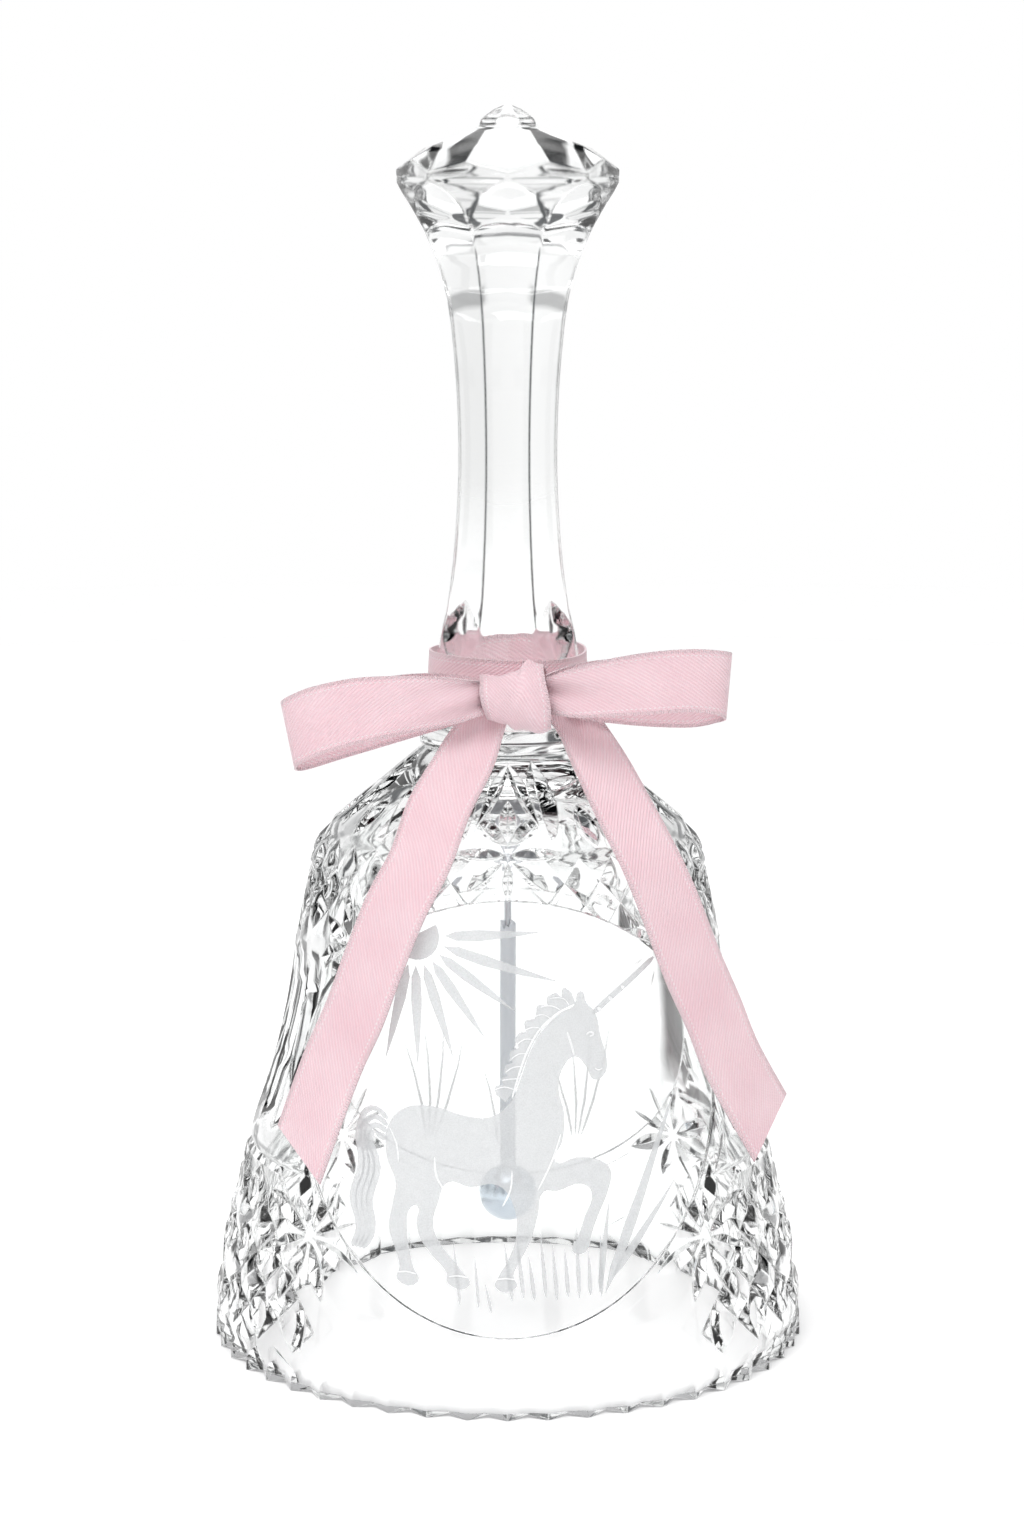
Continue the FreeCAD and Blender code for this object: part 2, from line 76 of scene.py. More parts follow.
def math_node(operation, swapped=False):
    """An operator that adds a Math node; swapped puts the other value first."""
    def method(self, other):
        return self.sum(operation, *((other, self) if swapped else (self, other)))
    return method


class Number:
    """A shader value that takes part in sums: each operator adds a Math node."""

    def __init__(self, finish, socket):
        self.finish = finish
        self.socket = socket

    def sum(self, operation, *values):
        return self.finish.node("Math", {"operation": operation}, values).out()

    __add__ = __radd__ = math_node("ADD")
    __mul__ = __rmul__ = math_node("MULTIPLY")
    __sub__, __rsub__ = math_node("SUBTRACT"), math_node("SUBTRACT", swapped=True)
    __truediv__ = math_node("DIVIDE")
    __gt__, __lt__ = math_node("GREATER_THAN"), math_node("LESS_THAN")

    def call(self, operation, *values):
        """A Math node with this value first, such as its sine or its absolute."""
        return self.sum(operation, self, *values)

    def between(self, low, high):
        """0 at low and below, 1 at high and above."""
        return self.finish.node("MapRange", {"clamp": True}, (self, low, high, 0.0, 1.0)).out()


class Node:
    """A shader node that has been set up."""

    def __init__(self, finish, node):
        self.finish = finish
        self.node = node

    def out(self, name=0):
        return Number(self.finish, self.node.outputs[name])


class Finish:
    """A node-built material, or the world."""

    def __init__(self, name, world=False):
        self.block = bpy.data.worlds.new(name) if world else bpy.data.materials.new(name)
        self.block.use_nodes = True
        self.tree = self.block.node_tree
        self.tree.nodes.clear()

    def node(self, kind, settings=None, inputs=()):
        """Add a node: first its settings, then the value or link of each socket."""
        node = self.tree.nodes.new(f"ShaderNode{kind}")
        for key, value in (settings or {}).items():
            setattr(node, key, value)
        pairs = inputs.items() if isinstance(inputs, dict) else enumerate(inputs)
        for key, value in pairs:
            if isinstance(value, Number):
                self.tree.links.new(value.socket, node.inputs[key])
            else:
                node.inputs[key].default_value = value
        return Node(self, node)

    def place(self, scales=(1.0, 1.0, 1.0), source="Object"):
        """Where a pattern is read from, with a pattern scale for each axis."""
        at = self.node("TexCoord").out(source)
        return self.node("Mapping", None, {"Vector": at, "Scale": scales}).out()

    def axes(self, at):
        """The three numbers of a place."""
        split = self.node("SeparateXYZ", None, (at,))
        return split.out(0), split.out(1), split.out(2)

    def noise(self, scale, detail=3.0, roughness=0.5, at=None):
        at = at or self.place()
        return self.node("TexNoise", None, {"Vector": at, "Scale": scale, "Detail": detail,
                                            "Roughness": roughness}).out("Fac")

    def blend(self, mask, first, second):
        """Mix two colours by a mask."""
        mixed = self.node("Mix", {"data_type": "RGBA"}, {0: mask, 6: first, 7: second})
        return mixed.out(2)

    def bump(self, height, strength, distance):
        return self.node("Bump", None, {"Height": height, "Strength": strength,
                                        "Distance": distance}).out()

    def shade(self, **sockets):
        """The surface: a Principled shader with the sockets given, spaces in their names as _."""
        named = {key.replace("_", " "): value for key, value in sockets.items()}
        shader = self.node("BsdfPrincipled", None, named)
        self.node("OutputMaterial", None, {"Surface": shader.out()})
        return self.block


def cut_glass(name, edge):
    """Clear lead crystal, faintly rippled, with its edges polished round to a radius in mm.

    Light that passes to the floor is dimmed by the sides of the glass and by its foot.
    """
    finish = Finish(name)
    ripple = finish.noise(90.0, 2.0)
    soft_edges = finish.node("Bevel", {"samples": 6}, {"Radius": edge * MM}).out()
    normal = finish.node("Bump", None, {"Height": ripple, "Strength": 0.06, "Distance": 0.0002,
                                        "Normal": soft_edges}).out()
    crystal = finish.node("BsdfPrincipled", None, {
        "Base Color": (0.985, 0.992, 0.99, 1), "Roughness": 0.0, "IOR": 1.545,
        "Transmission Weight": 1.0, "Normal": normal}).out()
    x, y, z = finish.axes(finish.place())
    sideways = (x.call("ABSOLUTE") / (y.call("ABSOLUTE") + 0.004)).between(1.0, 2.2)
    low_sides = sideways * (1 - z.between(0.012, 0.03))
    dimmed = low_sides.call("MAXIMUM", 1 - z.between(0.003, 0.006))
    clear = finish.node("BsdfTransparent", None, {"Color": (0.97, 0.97, 0.97, 1)}).out()
    dense = finish.node("BsdfTransparent", None, {"Color": (0.22, 0.22, 0.23, 1)}).out()
    passing = finish.node("MixShader", None, (dimmed, clear, dense)).out()
    rays = finish.node("LightPath")
    shaded = rays.out("Is Shadow Ray").call("MAXIMUM", rays.out("Is Diffuse Ray"))
    mixed = finish.node("MixShader", None, (shaded, crystal, passing)).out()
    finish.node("OutputMaterial", None, {"Surface": mixed})
    return finish.block


def etched_frost():
    """Sand-blasted glass: dull white, with a fine grain and thinner and denser patches."""
    finish = Finish("etched_frost")
    grain = finish.noise(5200.0, 2.0, 0.7)
    clouds = finish.noise(220.0, 3.0)
    cover = 0.22 + 0.3 * clouds + 0.36 * grain
    shade = finish.blend(clouds, (0.62, 0.63, 0.64, 1), (0.72, 0.73, 0.74, 1))
    return finish.shade(Base_Color=shade, Roughness=0.7, Alpha=cover,
                        Normal=finish.bump(grain, 0.5, 0.00004))


def etched_line():
    """The deeper outline of the etching, brighter than the frost round it."""
    finish = Finish("etched_line")
    grain = finish.noise(4200.0, 2.0, 0.6)
    shade = finish.blend(grain, (0.93, 0.94, 0.95, 1), (1.0, 1.0, 1.0, 1))
    return finish.shade(Base_Color=shade, Roughness=0.5, Alpha=0.55 + 0.35 * grain)


def satin():
    """Pink satin: a fine slanting twill, a sewn line near each edge, a corded edge, and painted shade
    of soft folds.

    The UV map holds centimetres: u across the ribbon's width from its middle, v along its length.
    """
    finish = Finish("pink_satin")
    at = finish.place(source="UV")
    across, along, _ = finish.axes(at)
    broken = (across * 46 - along * 172).call("SINE")
    twill = (across * 112 + along * 78).call("SINE") * (0.62 + 0.38 * broken)
    warp = (across * 420 - along * 60).call("SINE")
    from_middle = across.call("ABSOLUTE")
    edge = from_middle.between(0.425, 0.445)
    cord = (along * 190).call("SINE") * edge
    seam = (from_middle > 0.385) * (from_middle < 0.402) * ((along * 95).call("SINE") > 0.0)
    # Painted shade: a noise that makes the pink lighter and darker in patches. It stands in for the
    # shading of soft folds that the ribbon's shape doesn't have.
    fold_shade = finish.noise(1.1, 1.0, 0.4, at)
    streak = finish.noise(1.0, 2.0, 0.6, finish.place((34.0, 1.6, 1.0), source="UV"))
    body = finish.blend(fold_shade.between(0.3, 0.7), (0.93, 0.67, 0.72, 1), (0.98, 0.76, 0.80, 1))
    thread = finish.blend((0.5 + 0.5 * twill) * 0.5, body, (0.80, 0.42, 0.50, 1))
    edged = finish.blend(edge * 0.45, thread, (0.96, 0.74, 0.78, 1))
    colour = finish.blend(seam * 0.75, edged, (0.99, 0.88, 0.90, 1))
    height = twill * 0.5 + warp * 0.18 + cord * 0.9 + streak * 0.9 + seam * 1.2
    return finish.shade(Base_Color=colour, Roughness=0.27 + 0.14 * streak,
                        Anisotropic=0.45, Sheen_Weight=0.35, Sheen_Roughness=0.4,
                        Subsurface_Weight=0.12, Subsurface_Radius=(0.6, 0.3, 0.3),
                        Subsurface_Scale=0.002,
                        Normal=finish.bump(height, 0.8, 0.00016))


def clouded(name, scale, shades, roughness, bump, grain=0.5, stretch=(1.0, 1.0, 1.0), **sockets):
    """A finish whose shade, roughness and bumps follow one noise, each from its first value on."""
    finish = Finish(name)
    clouds = finish.noise(scale, 3.0, grain, finish.place(stretch))
    dark, light = shades
    least, spread = roughness
    return finish.shade(Base_Color=finish.blend(clouds, (*dark, 1), (*light, 1)),
                        Roughness=least + spread * clouds,
                        Normal=finish.bump(clouds, *bump), **sockets)


def drawn_steel():
    """Bright drawn wire with fine marks along it."""
    return clouded("drawn_steel", 900.0, ((0.42, 0.44, 0.47), (0.68, 0.70, 0.73)), (0.2, 0.2),
                   (0.25, 0.00003), 0.6, (1.0, 1.0, 0.08), Metallic=1.0)


def sleeve_plastic():
    """A soft blue-grey tube, clouded, a little see-through."""
    return clouded("sleeve_plastic", 700.0, ((0.74, 0.80, 0.85), (0.92, 0.95, 0.97)), (0.22, 0.2),
                   (0.2, 0.00006), 0.6, (1.0, 1.0, 0.25), Transmission_Weight=0.35, IOR=1.45)


def plug_plastic():
    """The moulded plug in the crown."""
    return clouded("plug_plastic", 900.0, ((0.10, 0.11, 0.12), (0.22, 0.24, 0.26)), (0.3, 0.2),
                   (0.2, 0.00005))


def cured_cement():
    """The thin layer of adhesive over the plug."""
    return clouded("cured_cement", 2400.0, ((0.62, 0.64, 0.62), (0.86, 0.87, 0.84)), (0.45, 0.3),
                   (0.4, 0.00005), 0.6)


def pearl_plate():
    """The ball's plating: blue-grey, softly clouded, with a clear coat."""
    finish = Finish("pearl_plate")
    clouds = finish.noise(260.0, 3.0)
    fine = finish.noise(2600.0, 2.0)
    shade = finish.blend(clouds, (0.50, 0.58, 0.66, 1), (0.74, 0.81, 0.87, 1))
    return finish.shade(Base_Color=shade, Metallic=0.8, Roughness=0.16 + 0.12 * clouds,
                        Coat_Weight=0.6, Coat_Roughness=0.08,
                        Normal=finish.bump(fine, 0.08, 0.00003))


GLASS = cut_glass("cut_glass", 0.3)
HANDLE_GLASS = cut_glass("handle_glass", 0.65)
FROST = etched_frost()
LINE = etched_line()
SATIN = satin()


# --- mesh tools ---

def finished_mesh(name, points, faces, material):
    """A piece from its points, in millimetres, and faces, with its normals turned outwards."""
    mesh = bpy.data.meshes.new(name)
    mesh.from_pydata([Vector(point) * MM for point in points], [], faces)
    mesh.validate()
    shell = bmesh.new()
    shell.from_mesh(mesh)
    bmesh.ops.recalc_face_normals(shell, faces=shell.faces)
    shell.to_mesh(mesh)
    shell.free()
    piece = bpy.data.objects.new(name, mesh)
    scene.collection.objects.link(piece)
    mesh.materials.append(material)
    return piece


def only(piece):
    """Make a piece the only one selected, and the active one."""
    bpy.ops.object.select_all(action="DESELECT")
    piece.select_set(True)
    bpy.context.view_layer.objects.active = piece


def smooth(piece, degrees):
    """Shade a piece smooth, with sharp edges past an angle."""
    only(piece)
    bpy.ops.object.shade_smooth_by_angle(angle=math.radians(degrees))


def modified(piece, kind, **settings):
    """Put a modifier on a piece and apply it."""
    only(piece)
    modifier = piece.modifiers.new(kind.lower(), kind)
    for key, value in settings.items():
        setattr(modifier, key, value)
    bpy.ops.object.modifier_apply(modifier=modifier.name)


def carved(piece, tool):
    """Take a tool away from a piece, and remove the tool."""
    modified(piece, "BOOLEAN", operation="DIFFERENCE", solver="MANIFOLD", object=tool)
    bpy.data.objects.remove(tool)
    return piece


def arc_between(start, end, radius, side, steps):
    """Points from start to end along an arc; side 1 bows to the right of travel, -1 to the left."""
    start, end = Vector(start), Vector(end)
    along = end - start
    out = Vector((along.y, -along.x)).normalized() * side
    centre = (start + end) / 2 - out * math.sqrt(radius ** 2 - along.length ** 2 / 4)
    first, last = start - centre, end - centre
    sweep = last.angle_signed(first)
    return [centre + Matrix.Rotation(sweep * step / steps, 2) @ first for step in range(steps + 1)]


def profile_radius(profile, height):
    """Radius of a profile, a list of (radius, height), at a height."""
    for (low_radius, low), (high_radius, high) in zip(profile, profile[1:]):
        if low <= height <= high and high > low:
            return low_radius + (high_radius - low_radius) * (height - low) / (high - low)
    return profile[0][0] if height < profile[0][1] else profile[-1][0]


# --- cup ---

RIM_RADIUS = 43.6
WALL = 4.2
CUP_TOP = 91.47
WINDOW_HEIGHT = 41.0
WINDOW_RADIUS = 29.5
WINDOW_RECESS = 1.4
WINDOW_STEP = (31.4, 0.5)
COLUMNS = 32
SCALLOPS = 48
FULL_TURN = 2 * math.pi
PLAIN_SECTOR = math.radians(41.0)
GROUND_OFF = 0.35
CROWN_STARS = 76.6
VAULT = 83.5

OUTSIDE = [
    (RIM_RADIUS, 0.0), *arc_between((43.6, 3.0), (41.6, 18.2), 49.0, 1, 6),
    *arc_between((38.9, 29.3), (31.2, 60.3), 101.0, -1, 10),
    *arc_between((31.2, 60.3), (28.4, 72.9), 69.0, 1, 4)[1:],
    (26.0, 76.5), (12.2, 88.0), (12.9, 89.1), (12.2, 90.2), (10.8, 91.5),
]


def wall_radius(height):
    """Radius of the cup's wall where it is ground plain, a little inside its outline."""
    return profile_radius(OUTSIDE, height) - GROUND_OFF


def around(radius, angle, height):
    """A point at an angle round the axis; 0 is the front, and +X is a quarter turn on."""
    return Vector((radius * math.sin(angle), -radius * math.cos(angle), height))


# Angle, height and ray length of every cut star.
STARS = [(half + math.radians(angle), height, reach) for half in (0.0, math.pi)
         for angle, height, reach in (
             (-44.0, 22.4, 11.0), (-46.7, 62.7, 9.6), (44.0, 22.4, 11.0), (46.7, 62.7, 9.6),
             (0.0, CROWN_STARS, 7.6), (90.0, 17.0, 10.0), (90.0, 68.0, 9.0))]


def is_plain(angle, height):
    """Whether the wall is left plain here: below the front and back windows, and round a star."""
    off_front = (angle + math.pi / 2) % math.pi - math.pi / 2
    if abs(off_front) < PLAIN_SECTOR and height < 30.0:
        return True
    radius = profile_radius(OUTSIDE, height)
    return any(math.hypot(((angle - star + math.pi) % FULL_TURN - math.pi) * radius, height - level)
               < 0.8 * reach for star, level, reach in STARS)


class Shell:
    """The points and faces of a closed shell built up ring by ring."""

    def __init__(self):
        self.points = []
        self.faces = []

    def add(self, point):
        self.points.append(point)
        return len(self.points) - 1

    def ring(self, heights, radii, count=2 * COLUMNS):
        """A ring whose points take the heights and radii in turn."""
        return [self.add(around(radii[i % len(radii)], FULL_TURN * i / count,
                                heights[i % len(heights)])) for i in range(count)]

    def bridge(self, low, high):
        """Faces between two rings, stepping along whichever ring is behind where counts differ."""
        i = j = 0
        while i < len(low) or j < len(high):
            a, b = low[i % len(low)], high[j % len(high)]
            if len(low) == len(high):
                self.faces.append((a, low[(i + 1) % len(low)], high[(j + 1) % len(high)], b))
                i, j = i + 1, j + 1
            elif (i + 1) / len(low) <= (j + 1) / len(high):
                self.faces.append((a, low[(i + 1) % len(low)], b))
                i += 1
            else:
                self.faces.append((a, high[(j + 1) % len(high)], b))
                j += 1

    def bridge_all(self, rings):
        for low, high in zip(rings, rings[1:]):
            self.bridge(low, high)

    def cap(self, ring, height):
        """Close a ring to a point on the axis."""
        centre = self.add(Vector((0, 0, height)))
        for i in range(len(ring)):
            self.faces.append((ring[i], ring[(i + 1) % len(ring)], centre))

    def made(self, name, material=GLASS):
        """The shell as a piece."""
        return finished_mesh(name, self.points, self.faces, material)

    def carry_on(self, ring, places, corner=1.0, count=2 * COLUMNS):
        """Bridge on from a ring through a ring at each radius and height, and give the last one."""
        for radius, height in places:
            after = self.ring([height], [radius, radius * corner], count)
            self.bridge(ring, after)
            ring = after
        return ring

    def stone(self, corners, plain, proud, table, dip):
        """One cut stone between four corners: slopes up to a small table with a dipped middle."""
        if plain:
            self.faces.append(corners)
            return
        places = [self.points[corner] for corner in corners]
        middle = sum(places, Vector()) / 4
        out = Vector((middle.x, middle.y, 0)).normalized()
        wide, tall = (places[0] - places[2]) * table / 2, (places[1] - places[3]) * table / 2
        rim = [self.add(middle + wide * math.cos(a) + tall * math.sin(a) + out * proud)
               for a in (math.pi / 4 * step for step in range(8))]
        centre = self.add(middle + out * (proud - dip))
        for i in range(4):
            here, there = corners[i], corners[(i + 1) % 4]
            self.faces.append((here, there, rim[2 * i + 1]))
            self.faces.append((here, rim[2 * i + 1], rim[2 * i]))
            self.faces.append((there, rim[(2 * i + 2) % 8], rim[2 * i + 1]))
        for i in range(8):
            self.faces.append((rim[i], rim[(i + 1) % 8], centre))

    def flutes(self, ring, low, high, groove):
        """Long upright V grooves that run out in points at both ends."""
        steps = 12
        for step in range(1, steps + 1):
            height = low + (high - low) * step / steps
            radius = profile_radius(OUTSIDE, height)
            deep = groove * min(1.0, 2.2 * math.sin(math.pi * step / steps))
            crest = radius - 0.1 - 0.25 * (step == steps)
            after = self.ring([height], [crest, radius - GROUND_OFF - deep])
            self.bridge(ring, after)
            ring = after
        return ring

    def lattice(self, ring, heights, groove, proud, table, dip):
        """A band of slanting grooves with a stone in each diamond, from a ring upwards."""
        rows = [[ring[2 * i] for i in range(COLUMNS)]]
        middles = [ring[2 * i + 1] for i in range(COLUMNS)]
        for level, height in enumerate(heights[1:-1], start=1):
            row = []
            for i in range(COLUMNS):
                angle = FULL_TURN * (i + 0.5 * (level % 2)) / COLUMNS
                depth = GROUND_OFF if is_plain(angle, height) else groove
                row.append(self.add(around(profile_radius(OUTSIDE, height) - depth, angle, height)))
            rows.append(row)
        last = len(heights) - 1
        shift = last % 2
        upper = self.ring([heights[-1]], [wall_radius(heights[-1])])
        rows.append([upper[2 * i + shift] for i in range(COLUMNS)])
        upper_middles = [upper[(2 * i + shift + 1) % len(upper)] for i in range(COLUMNS)]
        for i in range(COLUMNS):
            j = (i + 1) % COLUMNS
            self.faces.append((rows[0][i], middles[i], rows[1][i]))
            self.faces.append((middles[i], rows[0][j], rows[1][i]))
            below = rows[last - 1][j if shift else i]
            self.faces.append((rows[last][i], below, upper_middles[i]))
            self.faces.append((upper_middles[i], below, rows[last][j]))
        for level in range(1, last):
            for i in range(COLUMNS):
                j = (i + 1) % COLUMNS
                between = j if level % 2 else i
                corners = (rows[level][i], rows[level - 1][between],
                           rows[level][j], rows[level + 1][between])
                angle = FULL_TURN * (i + 0.5 * (level % 2) + 0.5) / COLUMNS
                self.stone(corners, is_plain(angle, heights[level]), proud, table, dip[level % 2])
        return upper


def leaf_cutter(shell, angle, height, heading, length, width, depth, outline=OUTSIDE):
    """A leaf-shaped V cut laid on an outline's wall; heading is its direction, 0 round and 90 up."""
    above = 1.6
    direction = math.radians(heading)
    slope = profile_radius(outline, height + 0.5) - profile_radius(outline, height - 0.5)
    stretch = 1 / math.sqrt(1 + slope ** 2)
    before = None
    for step in range(9):
        t = step / 4 - 1
        along = t * length / 2
        up = height + along * math.sin(direction) * stretch
        radius = profile_radius(outline, up)
        turn = angle + along * math.cos(direction) / radius
        point = around(radius, turn, up)
        round_way = around(1, turn + math.pi / 2, 0)
        up_way = (around(slope, turn, 0) + Vector((0, 0, 1))).normalized()
        normal = round_way.cross(up_way).normalized()
        if normal.dot(around(1, turn, 0)) < 0:
            normal.negate()
        ahead = (round_way * math.cos(direction) + up_way * math.sin(direction)).normalized()
        side = normal.cross(ahead).normalized()
        deep = depth * (1 - t * t) - 0.04
        half = (deep + above) * width / 2 / depth
        triple = [shell.add(point - normal * deep), shell.add(point + normal * above + side * half),
                  shell.add(point + normal * above - side * half)]
        if before:
            shell.bridge(before, triple)
        else:
            shell.faces.append(tuple(reversed(triple)))
        before = triple
    shell.faces.append(tuple(before))


def window_tool(radius, recess):
    """What is cut away at both windows: a disc along Y, less a core inside the cup's wall."""
    bpy.ops.mesh.primitive_cylinder_add(
        vertices=160, radius=radius * MM, depth=4 * RIM_RADIUS * MM,
        location=(0, 0, WINDOW_HEIGHT * MM), rotation=(math.pi / 2, 0, 0))
    disc = bpy.context.object
    bpy.ops.object.transform_apply()
    disc.data.materials.append(GLASS)
    bpy.ops.object.mode_set(mode="EDIT")
    bpy.ops.mesh.select_all(action="SELECT")
    bpy.ops.mesh.bisect(plane_co=(0, 0, 0), plane_no=(0, 1, 0))
    bpy.ops.object.mode_set(mode="OBJECT")
    core = Shell()
    rings = [core.ring([height], [r - recess], 192) for r, height in OUTSIDE[:-4]]
    core.cap(rings[0], 0.0)
    core.bridge_all(rings)
    core.cap(rings[-1], OUTSIDE[-5][1])
    return carved(disc, core.made("core"))


def make_cup():
    """The cup: a lattice of cut stones, two recessed windows, stars and long leaf cuts."""
    cup = Shell()
    band = [5.4, 9.3, 13.2, 17.1, 21.0, 24.9, 28.8]
    shoulder = [62.9, 66.1, 69.4, 72.6, 75.8]
    flutes_start, flutes_end = 30.8, 62.0
    neck = [(25.6, 76.9), (21.8, 80.0), (17.0, 84.0), (13.2, 87.2), (12.2, 88.0), (12.8, 88.5),
            (12.9, 89.1), (12.8, 89.7), (12.2, 90.2), (10.8, CUP_TOP)]
    inside = [(RIM_RADIUS - WALL, 0.0), *((radius - WALL, height) for radius, height in OUTSIDE[1:-5]),
              *arc_between((24.2, 72.9), (5.5, VAULT), 23.0, 1, 8)[1:]]

    rim = cup.ring([0.0, 0.5], [RIM_RADIUS, RIM_RADIUS - 1.3], 2 * SCALLOPS)
    lip = cup.ring([1.8, 2.4], [RIM_RADIUS, RIM_RADIUS - 1.5], 2 * SCALLOPS)
    zigzag = cup.ring([2.8, 4.6], [RIM_RADIUS - 0.7, RIM_RADIUS - 0.35], 2 * SCALLOPS)
    cup.bridge_all([rim, lip, zigzag])
    ring = cup.carry_on(zigzag, [(wall_radius(band[0]), band[0])])
    ring = cup.lattice(ring, band, 1.0, 0.85, 0.6, (-0.15, 0.45))
    ring = cup.carry_on(ring, [(37.9, 29.8), (wall_radius(flutes_start), flutes_start)])
    ring = cup.flutes(ring, flutes_start, flutes_end, 0.9)
    ring = cup.carry_on(ring, [(wall_radius(shoulder[0]), shoulder[0])])
    ring = cup.lattice(ring, shoulder, 1.0, 0.9, 0.5, (0.45, -0.1))
    cup.cap(cup.carry_on(ring, neck), CUP_TOP)
    cup.cap(cup.carry_on(rim, inside), VAULT)
    piece = cup.made("cup_glass")
    for radius, recess in (WINDOW_STEP, (WINDOW_RADIUS, WINDOW_RECESS)):
        carved(piece, window_tool(radius, recess))

    for ray in range(8):
        cuts = Shell()
        heading = 45.0 * ray + 22.5
        for angle, height, reach in STARS:
            lean = math.radians(heading if height != CROWN_STARS else 45.0 * ray)
            mid = reach * 0.53
            radius = profile_radius(OUTSIDE, height)
            leaf_cutter(cuts, angle + mid * math.cos(lean) / radius,
                        height + mid * math.sin(lean) * 0.96, math.degrees(lean), reach,
                        0.34 * reach, 0.16 * reach)
        carved(piece, cuts.made("star_rays"))
    for shift, centre, reach, width in ((15.0, 82.6, 15.5, 4.6), (0.0, 79.6, 8.0, 3.4)):
        cuts = Shell()
        for step in range(12):
            turn = shift + 30 * step
            if shift or step % 6:
                leaf_cutter(cuts, math.radians(turn), centre, 90, reach, width, 1.5)
        carved(piece, cuts.made("crown_leaves"))
    for lean in (-1, 1):
        cuts = Shell()
        for half in (0.0, math.pi):
            for turn, centre, tilt, length, width, depth in (
                    (8, 83.2, 17, 13.5, 2.4, 1.3), (43, 9.6, 0, 9.5, 2.6, 1.2),
                    (57, 45.0, 9, 27.0, 3.4, 1.4)):
                leaf_cutter(cuts, half + lean * math.radians(turn), centre, 90 + lean * tilt,
                            length, width, depth)
        carved(piece, cuts.made("long_leaves"))
    smooth(piece, 31)
    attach(piece, "bell")
    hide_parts("bell_cup")


make_cup()


# --- handle ---

GRIP = [
    *arc_between((10.2, 99.5), (7.1, 128.0), 171.0, -1, 8),
    *arc_between((7.1, 128.0), (8.15, 149.4), 164.0, -1, 6)[1:],
    *arc_between((8.15, 149.4), (15.9, 168.9), 38.5, -1, 10)[1:],
]
CORNER = 1 / math.cos(math.pi / 8)
GRIP_FOOT = 91.5
GRIP_TOP = 180.0
ARCH_FOOT = 164.3
ARCH_RISE = 5.5


def make_handle():
    """The handle: eight hollow facets from a waisted foot to a knob with kites, a crown and a cap."""
    grip = Shell()
    rings = [grip.ring([height], [radius], 16) for radius, height in (
        (10.8, GRIP_FOOT), (10.3, 92.4), (9.75, 93.6), (9.6, 94.6), (9.9, 96.2), (10.45, 98.2),
        (10.7, 99.3))]
    grip.cap(rings[0], GRIP_FOOT)
    face, arris = profile_radius(GRIP, 109.3) + 0.2, profile_radius(GRIP, 108.0) * CORNER
    rings.append(grip.ring([101.3, 104.9, 101.6, 104.9], [9.7, 10.35, 10.95, 10.35], 16))
    rings.append(grip.ring([103.0, 108.0, 109.3, 108.0],
                           [profile_radius(GRIP, 103.0), arris, face, arris], 16))
    for height in (110.6, 114.5, 119, 123.5, 128, 132, 136, 140, 144.5, 149.4, 153, 156.4, 159.4, 162):
        half = profile_radius(GRIP, height)
        rings.append(grip.ring([height], [half, half * CORNER], 16))
    grip.bridge_all(rings)

    # The hollow facets run up in arches, with a kite between each two of them.
    levels = [[] for _ in range(5)]
    for k in range(8):
        for step in range(-4, 4):
            share = step / 4
            top = ARCH_FOOT + ARCH_RISE * (1 - abs(share) ** 1.6)
            turn = FULL_TURN * k / 8 + math.atan(share * math.tan(math.pi / 8))
            for level, row in enumerate(levels):
                height = ARCH_FOOT + (top - ARCH_FOOT) * level / 4
                half = profile_radius(GRIP, height)
                row.append(grip.add(around(half / math.cos(turn - FULL_TURN * k / 8), turn, height)))
    grip.bridge(rings[-1][-1:] + rings[-1][:-1], levels[0])
    grip.bridge_all(levels)
    arch = levels[-1]
    low = [grip.add(around(15.95, FULL_TURN * k / 8, 170.7)) for k in range(8)]
    high = [grip.add(around(14.8, FULL_TURN * (k + 0.5) / 8, 172.2)) for k in range(8)]
    crown = grip.ring([173.7, 174.1], [11.9, 11.5], 16)
    for k in range(8):
        nxt = (k + 1) % 8
        corner = 8 * (k + 1)
        for step in range(4):
            kite = [arch[(corner + side) % len(arch)] for side in (-step, step, step + 1, -step - 1)]
            grip.faces.append(tuple(kite if step else kite[1:]))
        grip.faces += [
            (arch[8 * k + 4], arch[8 * nxt + 4], low[nxt], high[k], low[k]),
            (low[k], high[k], crown[2 * k + 1], crown[2 * k]),
            (high[k - 1], low[k], crown[2 * k], crown[2 * k - 1]),
        ]
    button = grip.carry_on(crown, [(4.7, 176.4), (4.2, 176.8), (3.7, 178.0), (2.0, 179.2)], CORNER, 16)
    grip.cap(button, GRIP_TOP)
    piece = grip.made("handle_glass", HANDLE_GLASS)
    only(piece)
    bpy.ops.object.mode_set(mode="EDIT")
    bpy.ops.mesh.select_all(action="SELECT")
    bpy.ops.mesh.remove_doubles(threshold=0.01 * MM)
    bpy.ops.mesh.normals_make_consistent(inside=False)
    bpy.ops.object.mode_set(mode="OBJECT")
    modified(piece, "BEVEL", width=0.3 * MM, segments=2, limit_method="ANGLE",
             angle_limit=math.radians(16), use_clamp_overlap=True)
    cuts = Shell()
    for face in range(1, 8, 2):
        leaf_cutter(cuts, FULL_TURN * face / 8, 105.4, 90, 9.0, 5.4, 0.9, GRIP)
    carved(piece, cuts.made("foot_cuts", HANDLE_GLASS))
    smooth(piece, 26)
    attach(piece, "bell")
    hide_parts("handle")


make_handle()


# --- clapper ---

